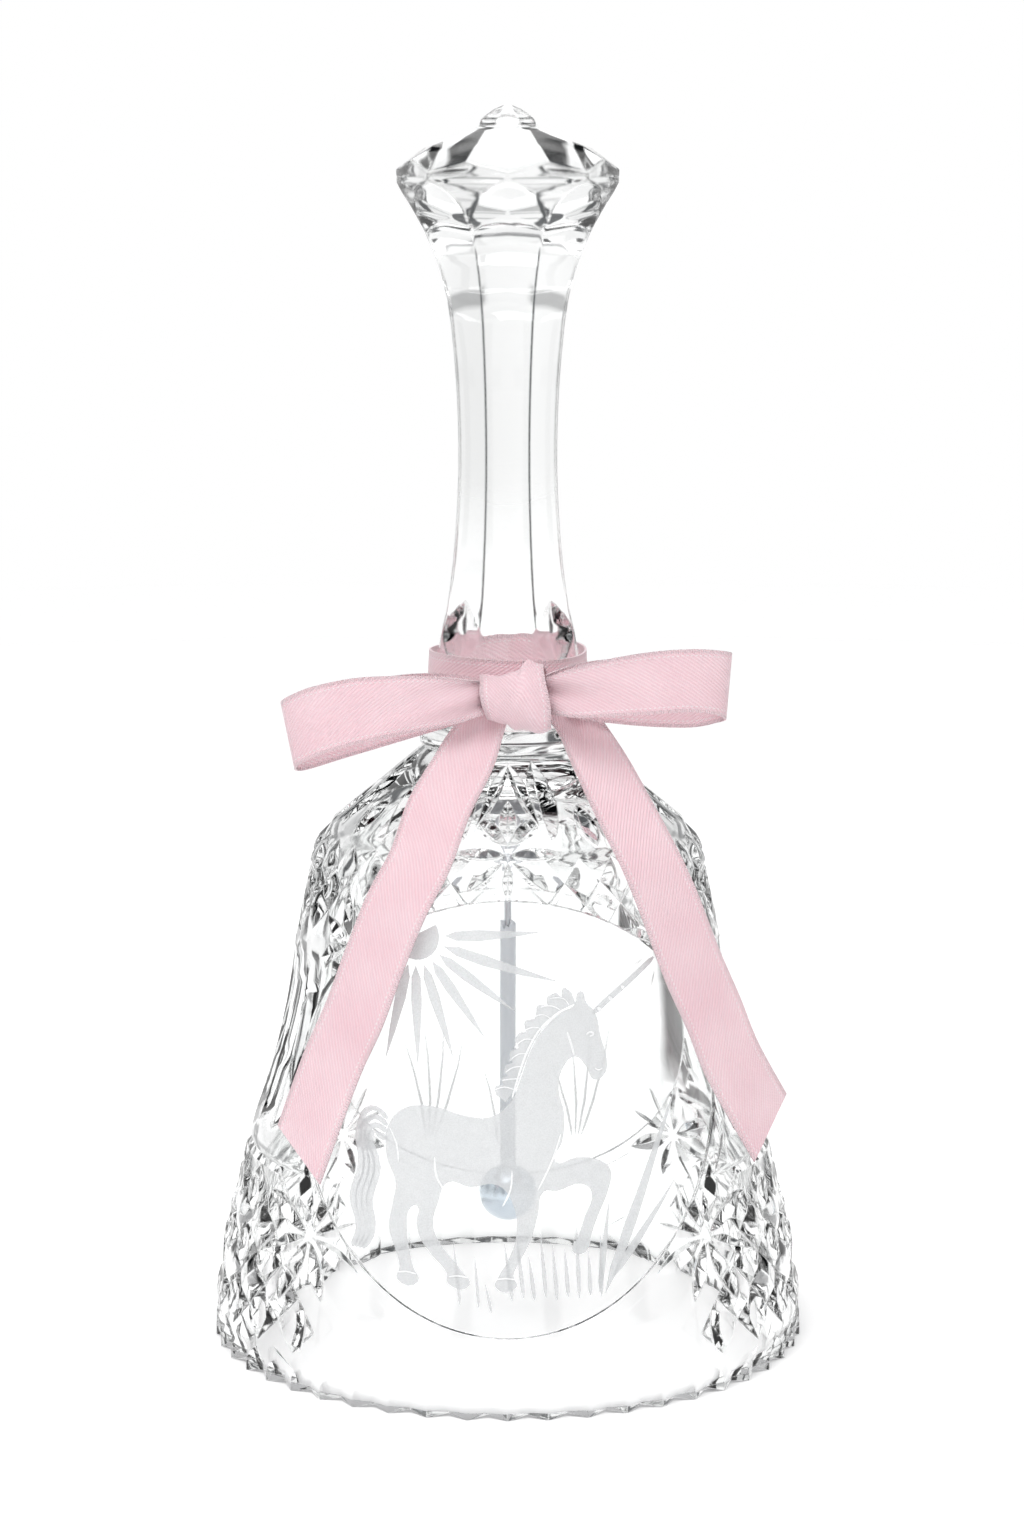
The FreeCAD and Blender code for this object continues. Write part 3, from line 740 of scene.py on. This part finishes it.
def make_clapper():
    """Finishes for the clapper's own solids, and a sleeve with a torn top end."""
    finishes = {"plug_eye": drawn_steel(), "crown_plug": plug_plastic(), "plug_cement": cured_cement(),
                "clapper_ball": pearl_plate()}
    finishes["link_ring"] = finishes["clapper_wire"] = finishes["plug_eye"]
    for node, finish in finishes.items():
        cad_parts[node].data.materials.clear()
        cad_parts[node].data.materials.append(finish)
    low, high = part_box("clapper_sleeve")
    bpy.ops.mesh.primitive_cylinder_add(vertices=28, radius=high.x, depth=high.z - low.z,
                                        location=(0, 0, (low.z + high.z) / 2), end_fill_type="NOTHING")
    sleeve = bpy.context.object
    sleeve.name = "clapper_tube"
    bpy.ops.object.transform_apply()
    bpy.ops.object.mode_set(mode="EDIT")
    bpy.ops.mesh.subdivide(number_cuts=5)
    bpy.ops.object.mode_set(mode="OBJECT")
    top = high.z - 0.05 * MM
    for vertex in sleeve.data.vertices:
        turn = math.atan2(vertex.co.y, vertex.co.x)
        if vertex.co.z > top:
            vertex.co.z -= (0.55 + 0.45 * math.sin(3 * turn + 1) + 0.3 * math.sin(8 * turn)) * MM
        wave = 1 - 0.035 * (1 + math.sin(vertex.co.z / MM * 0.9 + turn))
        vertex.co.x *= wave
        vertex.co.y *= wave
    modified(sleeve, "SOLIDIFY", thickness=0.55 * MM, offset=-1)
    sleeve.data.materials.append(sleeve_plastic())
    smooth(sleeve, 40)
    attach(sleeve, "clapper")
    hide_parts("clapper_sleeve")


make_clapper()


# --- etching ---

class Etching:
    """Flat shapes drawn on a window, then laid on its curved surface as a thin skin."""

    def __init__(self, name, material, lift):
        self.name = name
        self.material = material
        self.lift = lift
        self.points = []
        self.faces = []

    def shape(self, outline, rounded=True):
        """Fill a closed outline of (x, z), and split it finely enough to bend."""
        curve = bpy.data.curves.new("outline", "CURVE")
        curve.dimensions = "2D"
        curve.fill_mode = "BOTH"
        curve.resolution_u = 4 if rounded else 1
        spline = curve.splines.new("BEZIER")
        spline.bezier_points.add(len(outline) - 1)
        for place, (x, z) in zip(spline.bezier_points, outline):
            place.co = (x, z, 0)
            place.handle_left_type = place.handle_right_type = "AUTO" if rounded else "VECTOR"
        spline.use_cyclic_u = True
        flat = bpy.data.objects.new("outline", curve)
        scene.collection.objects.link(flat)
        only(flat)
        bpy.ops.object.convert(target="MESH")
        flat = bpy.context.object
        sheet = bmesh.new()
        sheet.from_mesh(flat.data)
        for axis in (Vector((1, 0, 0)), Vector((0, 1, 0))):
            for step in range(-15, 38):
                bmesh.ops.bisect_plane(sheet, geom=[*sheet.verts, *sheet.edges, *sheet.faces],
                                       plane_co=axis * step * 2.0, plane_no=axis)
        bmesh.ops.triangulate(sheet, faces=sheet.faces)
        start = len(self.points)
        sheet.verts.index_update()
        self.points += [vertex.co.copy() for vertex in sheet.verts]
        self.faces += [tuple(start + vertex.index for vertex in face.verts) for face in sheet.faces]
        sheet.free()
        bpy.data.objects.remove(flat)

    def stroke(self, path, width, taper=True):
        """A line of varying width along a path."""
        left, right = [], []
        for index, point in enumerate(path):
            before, after = path[max(index - 1, 0)], path[min(index + 1, len(path) - 1)]
            way = Vector((after[0] - before[0], after[1] - before[1])).normalized()
            share = math.sin(math.pi * (0.1 + 0.8 * index / (len(path) - 1))) if taper else 1
            side = Vector((-way.y, way.x)) * width / 2 * share
            left.append((point[0] + side.x, point[1] + side.y))
            right.append((point[0] - side.x, point[1] - side.y))
        self.shape(left + right[::-1])

    def blade(self, base, tip, width, bend=0.0):
        """A leaf or ray that is widest a third of the way along and ends in a point."""
        start, end = Vector(base), Vector(tip)
        along = end - start
        side = Vector((-along.y, along.x)).normalized()
        spine = [start + along * t + side * bend * math.sin(math.pi * t) for t in (0.12, 0.35, 0.7)]
        halves = (0.42 * width, 0.5 * width, 0.28 * width)
        left, right = ([tuple(point + side * half * way) for point, half in zip(spine, halves)]
                       for way in (1, -1))
        self.shape([tuple(start), *left, tuple(end), *right[::-1]], rounded=False)

    def lay(self, back=False):
        """Wrap the drawing on to the window's surface and give it a skin."""
        placed = []
        for x, z, _ in self.points:
            radius = profile_radius(OUTSIDE, z) - WINDOW_RECESS + self.lift
            y = -math.sqrt(radius ** 2 - x ** 2)
            placed.append((-x, -y, z) if back else (x, y, z))
        piece = finished_mesh(self.name, placed, self.faces, self.material)
        modified(piece, "SOLIDIFY", thickness=0.03 * MM, offset=0)
        smooth(piece, 40)
        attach(piece, "bell")


UNICORN = [
    (10.2, 57.7), (11.0, 56.0), (12.2, 54.6), (13.0, 51.2), (13.9, 47.8), (13.6, 46.0), (12.2, 45.3),
    (11.0, 47.2), (9.4, 48.7), (7.9, 47.6), (7.1, 44.6), (7.9, 41.0), (7.6, 37.4), (6.6, 34.9),
    (9.6, 35.2), (13.0, 34.5), (14.4, 33.1), (14.1, 30.8), (12.6, 27.4), (11.7, 25.0), (11.4, 23.5),
    (10.6, 22.5), (9.0, 22.9), (9.9, 24.9), (10.7, 27.2), (11.7, 30.6), (10.3, 31.7), (6.8, 31.0),
    (5.0, 31.0), (4.2, 28.0), (3.2, 24.6), (1.6, 21.6), (0.8, 19.9), (1.2, 18.3), (-1.7, 18.3),
    (-1.2, 19.8), (0.0, 21.8), (1.2, 25.4), (0.6, 29.8), (-1.4, 31.9), (-5.2, 31.6), (-8.4, 32.0),
    (-9.7, 29.4), (-10.4, 26.2), (-9.5, 24.0), (-7.3, 21.4), (-6.3, 20.2), (-5.3, 18.5), (-8.3, 18.6),
    (-8.5, 20.0), (-10.5, 22.2), (-12.3, 24.6), (-12.7, 26.6), (-12.6, 28.6), (-13.5, 28.4),
    (-14.1, 25.4), (-13.7, 22.6), (-13.2, 20.4), (-12.5, 18.5), (-15.4, 18.5), (-15.1, 20.3),
    (-15.8, 22.8), (-16.6, 25.2), (-16.1, 28.6), (-15.7, 31.4), (-17.0, 34.6), (-16.8, 38.6),
    (-14.6, 41.2), (-10.6, 41.9), (-6.4, 41.0), (-2.6, 40.8), (0.2, 42.6), (1.8, 46.0), (3.2, 49.8),
    (5.2, 53.0), (7.6, 55.0), (9.2, 55.7),
]
CREST = [(9.5, 56.0), (7.4, 55.2), (5.2, 53.3), (3.5, 50.6), (2.3, 47.6), (1.3, 44.9), (-0.2, 42.8)]
LOCKS = 9
SUN = (-13.0, 65.2)
RAYS = [(-17.2, 47.6), (-12.6, 47.2), (-7.6, 48.6), (-3.2, 51.6), (1.2, 55.2), (7.2, 59.2),
        (4.6, 66.2)]


def mane_point(share, lift):
    """A point at a share of the way down the neck's crest, lifted off it."""
    at = min(share, 0.999) * (len(CREST) - 1)
    start, end = Vector(CREST[int(at)]), Vector(CREST[int(at) + 1])
    way = end - start
    out = Vector((way.y, -way.x)).normalized()
    return tuple(start + way * (at - int(at)) + out * lift)


def mane_outline():
    """The mane: locks that swell off the crest and come back to it."""
    outer = []
    for step in range(LOCKS * 6 + 1):
        swell = abs(math.sin(math.pi * step / 6))
        down = step / (LOCKS * 6)
        outer.append(mane_point(down, 1.7 + 1.1 * swell * (1 - 0.3 * down)))
    return outer + [mane_point(1 - step / 18, 0.05) for step in range(19)]


def make_front_etching():
    """The front window: a unicorn stepping through grass under the sun's rays."""
    frost = Etching("etched_scene", FROST, 0.05)
    frost.shape(UNICORN)
    frost.stroke([(11.9, 54.4), (14.4, 56.4), (17.4, 58.6), (20.6, 61.0)], 0.9)
    frost.shape(mane_outline(), rounded=False)
    for sway in range(4):
        hair = ((-16.9, 0, 39.6 - 0.9 * sway), (-19.2, 0.3, 40.6 - 1.1 * sway), (-21.0, 0.6, 37.4),
                (-20.6, 0.75, 33.0), (-21.8, 0.8, 28.6), (-21.0, 0.7, 24.6), (-21.8, 0.5, 22.0))
        frost.stroke([(x + swing * sway, z) for x, swing, z in hair], 1.05)
    half_sun = [(SUN[0] + 3.4 * math.cos(a), SUN[1] + 3.4 * math.sin(a))
                for a in (math.radians(-150 + 15 * step) for step in range(13))]
    frost.shape(half_sun, rounded=False)
    for tip in RAYS:
        start = Vector(SUN).lerp(Vector(tip), 4.2 / (Vector(tip) - Vector(SUN)).length)
        frost.blade(tuple(start), tip, 1.5)
    for index in range(9):
        x = 0.4 + 1.55 * index
        root = (x + 0.3, 16.4 + 0.3 * (index % 2))
        frost.blade(root, (x - 0.9 + 0.13 * index, 24.4 + 1.7 * math.sin(2.4 * index)), 0.62)
    for base, tip, width in (((13.6, 16.8), (24.0, 43.0), 1.5), ((14.6, 18.8), (23.6, 30.6), 1.1),
                             ((12.8, 17.0), (14.2, 29.4), 0.9), ((-6.6, 15.6), (-7.6, 24.6), 0.5),
                             ((-4.0, 15.4), (-4.6, 22.6), 0.45), ((-2.2, 14.8), (-3.2, 19.0), 0.4)):
        frost.blade(base, tip, width)
    frost.lay()

    lines = Etching("etched_lines", LINE, 0.11)
    for path, width in (
            ([(11.0, 51.6), (11.5, 51.9), (12.0, 51.6), (11.5, 51.3)], 0.28),
            ([(8.3, 52.2), (8.9, 50.4), (9.3, 48.9)], 0.3),
            ([(12.2, 46.9), (12.8, 46.6), (13.3, 46.8)], 0.22),
            ([(0.6, 43.4), (1.5, 46.4), (2.9, 50.1), (5.0, 53.3), (7.6, 55.3)], 0.3),
            ([(7.4, 38.4), (6.3, 35.2), (4.2, 31.2)], 0.28),
            ([(-0.7, 29.2), (0.4, 31.4), (0.6, 33.8)], 0.26),
            ([(-8.6, 30.8), (-9.9, 32.6), (-10.2, 35.2)], 0.28),
            ([(-16.6, 38.4), (-15.6, 36.4), (-15.3, 34.0)], 0.22),
            ([(-1.9, 19.3), (-0.3, 19.5), (1.2, 19.3)], 0.22),
            ([(-8.2, 19.5), (-6.9, 19.7), (-5.6, 19.5)], 0.22),
            ([(-15.4, 19.5), (-14.1, 19.7), (-12.8, 19.5)], 0.22),
            ([(12.6, 55.2), (13.1, 54.7)], 0.2), ([(14.2, 56.5), (14.7, 56.0)], 0.2),
            ([(16.0, 57.8), (16.4, 57.3)], 0.18)):
        lines.stroke(path, width, len(path) > 2)
    for start in range(2, 28, 3):
        root, tip = mane_point(start / 30, 0.15), mane_point(min(1, start / 30 + 0.1), 2.3)
        lines.stroke([root, mane_point(start / 30 + 0.03, 1.4), tip], 0.17)
    lines.lay()


def make_back_etching():
    """The back window: sprays of long grass."""
    frost = Etching("etched_grass", FROST, 0.05)
    for root, fan in ((-12.0, 4), (1.0, 3), (12.5, 4)):
        for step in range(fan):
            lean = (step - (fan - 1) / 2) * 3.4
            frost.blade((root + 0.4 * step, 16.5 + abs(root) * 0.16),
                        (root + lean, 31.0 + 9.0 * math.cos(lean / 6 + root)), 0.42, 0.6)
    frost.lay(back=True)


make_front_etching()
make_back_etching()


# --- ribbon ---

RIBBON_HALF = 4.9
RIBBON_THICKNESS = 0.32
ACROSS = 16
BOW_HEIGHT = 97.3
KNOT_FRONT = -14.9


def between_stations(stations, closed=False):
    """Even steps along a smooth path through stations, each a list of numbers."""
    count = len(stations)
    rows = []
    for index in range(count if closed else count - 1):
        picks = [index - 1, index, index + 1, index + 2]
        if closed:
            a, b, c, d = (stations[pick % count] for pick in picks)
        else:
            a, b, c, d = (stations[min(max(pick, 0), count - 1)] for pick in picks)
        for step in range(6):
            t = step / 6
            rows.append([0.5 * (2 * q + (r - p) * t + (2 * p - 5 * q + 4 * r - s) * t * t
                                + (3 * q - p - 3 * r + s) * t ** 3)
                         for p, q, r, s in zip(a, b, c, d)])
    return rows if closed else rows + [list(stations[-1])]


def ribbon_piece(name, node, stations, closed=False):
    """A strip of ribbon. A station is its middle, its half-width vector, its hump and its pleating."""
    rows = between_stations(stations, closed)
    middles = [Vector(row[0:3]) for row in rows]
    count = len(rows)
    points, lengths = [], []
    along = 0.0
    for index, (middle, row) in enumerate(zip(middles, rows)):
        half, hump, pleat = Vector(row[3:6]), row[6], row[7]
        after = middles[(index + 1) % count] if closed or index + 1 < count else middle
        before = middles[index - 1] if closed or index else middle
        normal = half.cross(after - before).normalized()
        if index:
            along += (middle - middles[index - 1]).length
        lengths.append(along)
        for column in range(ACROSS + 1):
            u = 2 * column / ACROSS - 1
            fold = hump * (1 - u * u) + pleat * math.sin(5.2 * u + 0.35 * along)
            points.append(middle + half * u + normal * fold)
    total = along + (middles[0] - middles[-1]).length if closed else along
    lengths.append(total)
    faces, spots = [], []
    for index in range(count if closed else count - 1):
        low, high = index * (ACROSS + 1), (index + 1) % count * (ACROSS + 1)
        v0, v1 = lengths[index] / 10, lengths[index + 1] / 10
        for column in range(ACROSS):
            faces.append((low + column, low + column + 1, high + column + 1, high + column))
            u0, u1 = ((2 * edge / ACROSS - 1) * RIBBON_HALF / 10 for edge in (column, column + 1))
            spots += [(u0, v0), (u1, v0), (u1, v1), (u0, v1)]
    mesh = bpy.data.meshes.new(name)
    mesh.from_pydata([point * MM for point in points], [], faces)
    weave = mesh.uv_layers.new(name="weave")
    for corner, spot in zip(weave.data, spots):
        corner.uv = spot
    mesh.materials.append(SATIN)
    piece = bpy.data.objects.new(name, mesh)
    scene.collection.objects.link(piece)
    modified(piece, "SOLIDIFY", thickness=RIBBON_THICKNESS * MM, offset=0)
    smooth(piece, 50)
    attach(piece, "bell")
    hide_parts(node)
    return piece


def loop_stations(places, lean):
    """Stations of a bow's loop: each place is x, y, z, half-width, hump, pleating."""
    tilt = math.radians(lean)
    return [[x, y, z, -half * math.sin(tilt), 0, half * math.cos(tilt), hump, pleat]
            for x, y, z, half, hump, pleat in places]


def make_loops():
    left = [(-2.6, -14.4, 97.2, 2.2, 0, 0.35), (-4.6, -15.8, 97.2, 2.6, 0.2, 0.4),
            (-8.0, -16.7, 97.0, 3.4, 0.3, 0.28), (-12.4, -17.0, 96.7, 3.95, 0.2, 0.15),
            (-20.1, -16.9, 95.8, 4.6, 0.1, 0.05), (-26.5, -16.2, 94.2, 4.85, 0, 0),
            (-30.2, -14.9, 92.5, 4.9, 0, 0), (-31.2, -13.1, 91.3, 4.9, 0, 0),
            (-29.8, -11.3, 90.9, 4.9, 0, 0), (-23.8, -10.4, 92.6, 4.9, 0, 0),
            (-15.4, -10.8, 95.0, 4.7, 0, 0.05), (-8.2, -11.8, 96.4, 3.8, 0, 0.2),
            (-3.0, -13.2, 97.0, 2.4, 0, 0.3)]
    right = [(4.4, -14.4, 97.4, 2.2, 0, 0.35), (6.4, -15.7, 97.7, 2.8, 0.2, 0.4),
             (9.6, -16.7, 98.2, 3.6, 0.3, 0.28), (13.6, -17.0, 98.8, 4.1, 0.2, 0.12),
             (20.0, -16.9, 99.5, 4.5, 0.1, 0.05), (25.8, -16.4, 99.8, 4.5, 0, 0),
             (29.9, -15.2, 99.3, 4.6, 0, 0), (31.3, -13.3, 98.5, 4.8, 0, 0),
             (30.2, -11.4, 97.8, 4.9, 0, 0), (26.6, -10.5, 97.0, 4.9, 0, 0),
             (20.3, -10.5, 97.1, 4.85, 0, 0), (13.4, -11.0, 97.5, 4.5, 0, 0.08),
             (8.6, -11.9, 97.6, 3.6, 0, 0.2), (4.6, -13.2, 97.5, 2.4, 0, 0.3)]
    ribbon_piece("bow_loop_left", "ribbon_loop_left", loop_stations(left, 11.0))
    ribbon_piece("bow_loop_right", "ribbon_loop_right", loop_stations(right, -4.5))


def tail_stations(side, edge):
    """Stations of a tail from its inner edge: angle, height, radius, facing, width, hump."""
    inner = [around(radius, math.radians(angle), height) for angle, height, radius, *_ in edge]
    stations = []
    for index, (point, (_, _, _, facing, width, hump)) in enumerate(zip(inner, edge)):
        before, after = inner[max(index - 1, 0)], inner[min(index + 1, len(inner) - 1)]
        down = (after - before).normalized()
        outwards = around(1, math.radians(facing + 90), 0) * side
        reach = (outwards - down * outwards.dot(down)).normalized() * width
        if index == len(edge) - 1:
            reach -= down * 4.9
        half = reach / 2
        stations.append([*(point + half), *half, hump * side, 0.0 if index > 1 else 0.25])
    return stations


def make_tails():
    left = [(1.0, 94.6, 14.6, -4, 5.0, 0.3), (-2.6, 91.8, 15.3, -9, 7.2, 0.4),
            (-6.7, 87.4, 19.3, -14, 9.0, 0.3),
            (-12.9, 81.8, 23.8, -20, 9.8, 0.1), (-16.5, 74.8, 28.5, -24, 9.8, 0),
            (-22.3, 67.8, 30.9, -27, 9.8, -0.1), (-27.6, 59.3, 32.6, -29, 9.8, -0.2),
            (-31.7, 52.0, 33.9, -30, 9.8, -0.2), (-36.6, 44.6, 35.4, -30, 9.8, -0.1),
            (-41.8, 30.0, 39.7, -30, 9.8, 0)]
    right = [(18.0, 95.2, 14.6, 16, 5.0, 0.3), (27.2, 92.2, 15.2, 25, 7.2, 0.4),
             (28.9, 87.7, 19.0, 28, 9.0, 0.3),
             (30.8, 81.3, 24.2, 30, 9.8, 0.1), (33.6, 74.1, 29.2, 30, 9.8, 0),
             (37.5, 67.0, 31.2, 30, 9.8, -0.1), (42.7, 58.1, 32.8, 30, 9.8, -0.2),
             (48.5, 50.5, 34.1, 31, 9.8, -0.2), (52.9, 42.9, 35.8, 31, 9.8, -0.1),
             (62.9, 30.0, 39.8, 32, 9.8, 0)]
    ribbon_piece("bow_tail_left", "ribbon_tail_left", tail_stations(-1, left))
    ribbon_piece("bow_tail_right", "ribbon_tail_right", tail_stations(1, right))


def make_knot_and_band():
    """The knot is a turn of ribbon round the middle of the bow, and the band a turn round the neck."""
    knot = []
    for step in range(14):
        turn = FULL_TURN * step / 14
        y, z = KNOT_FRONT + 2.7 * math.sin(turn), BOW_HEIGHT + 4.1 * math.cos(turn)
        slant = 0.9 * math.cos(turn)
        knot.append([1.05 - slant * 0.6, y, z, 5.0 - 0.5 * abs(math.cos(turn)), 0,
                     0.7 * math.sin(turn), 0.35, 0.3])
    piece = ribbon_piece("bow_knot", "ribbon_knot", knot, closed=True)
    for vertex in piece.data.vertices:
        x, y, z = vertex.co / MM
        crease = 1.3 + 0.9 * math.sin((z - BOW_HEIGHT) / 3.2)
        under = min(max((crease - x) / 0.9 + 0.5, 0.0), 1.0)
        swell = 1 + 0.13 * math.cos(math.pi * min(abs(x - 3.5) / 3.6, 1.0) / 2) - 0.24 * under
        y = KNOT_FRONT + (y - KNOT_FRONT) * swell
        z = 97.0 + (z - 97.0) * swell - 0.25 * under
        vertex.co = Vector((x, y, z)) * MM
    band = []
    radius = 11.35
    for step in range(16):
        turn = FULL_TURN * step / 16
        band.append([radius * math.sin(turn), radius * math.cos(turn),
                     BOW_HEIGHT + 0.25 * math.sin(2 * turn), 0, 0, 4.6, 0.0, 0.08])
    ribbon_piece("neck_band", "ribbon_neck_band", band, closed=True)


make_loops()
make_tails()
make_knot_and_band()


# --- floor and light ---

FLAGS = 10
FLAG_EDGE = (0.75, 0.88)


def make_studio():
    """A white floor that fades out, white surroundings with dark flags, and one soft light."""
    bpy.ops.mesh.primitive_circle_add(vertices=96, radius=0.9, fill_type="TRIFAN")
    floor = bpy.context.object
    floor.name = "floor"
    finish = Finish("pale_floor")
    at = finish.place()
    out = finish.node("VectorMath", {"operation": "LENGTH"}, (at,)).out("Value")
    x, y, _ = finish.axes(at)
    stripes = (y.call("ARCTAN2", x) * FLAGS).call("COSINE")
    through = finish.node("LightPath").out("Is Transmission Ray")
    flags = stripes.between(*FLAG_EDGE) * out.between(0.15, 0.19) * through
    white, black = (0.93, 0.93, 0.93, 1), (0.06, 0.06, 0.06, 1)
    shader = finish.shade(Base_Color=finish.blend(flags, white, black),
                          Roughness=0.8, Specular_IOR_Level=0.2,
                          Emission_Color=finish.blend(flags, (1, 1, 1, 1), (0, 0, 0, 1)),
                          Emission_Strength=0.3, Alpha=1 - out.between(0.30, 0.85))
    floor.data.materials.append(shader)

    world = Finish("studio", world=True)
    x, y, z = world.axes(world.node("TexCoord").out("Generated"))
    bearing = y.call("ARCTAN2", x)
    off_side, off_front = y.call("ABSOLUTE"), x.call("ABSOLUTE")
    stripes = (bearing * FLAGS).call("COSINE") * off_side.between(0.05, 0.15)
    low_ring = z.between(0.15, 0.18) * (1 - z.between(0.24, 0.27)) * off_front.between(0.08, 0.13)
    ring = (z.between(0.66, 0.70) * (1 - z.between(0.82, 0.86))).call("MAXIMUM", low_ring * 0.5)
    cards = stripes.between(*FLAG_EDGE).call("MAXIMUM", off_front.between(0.93, 0.96) * 0.6)
    flags = (cards * (1 - z.between(0.55, 0.62))).call("MAXIMUM", ring)
    veil = 0.94 + 0.06 * (bearing * 4).call("SINE")
    inside = world.blend(flags, (1, 1, 1, 1), (0.05, 0.055, 0.06, 1))
    seen = world.node("LightPath").out("Is Camera Ray")
    colour = world.blend(seen, inside, (1, 1, 1, 1))
    strength = seen + (1 - seen) * veil
    shader = world.node("Background", None, {"Color": colour, "Strength": strength})
    world.node("OutputWorld", None, {"Surface": shader.out()})
    scene.world = world.block

    light = bpy.data.lights.new("soft_light", "AREA")
    light.energy = 5.0
    light.size = 0.6
    lamp = bpy.data.objects.new("soft_light", light)
    lamp.location = (-0.12, -0.38, 0.85)
    lamp.rotation_euler = (Vector((0, 0, 0.1)) - lamp.location).to_track_quat("-Z", "Y").to_euler()
    scene.collection.objects.link(lamp)


make_studio()
scene.view_settings.view_transform = "Standard"
scene.cycles.max_bounces = 24
scene.cycles.transmission_bounces = 24
scene.cycles.transparent_max_bounces = 24
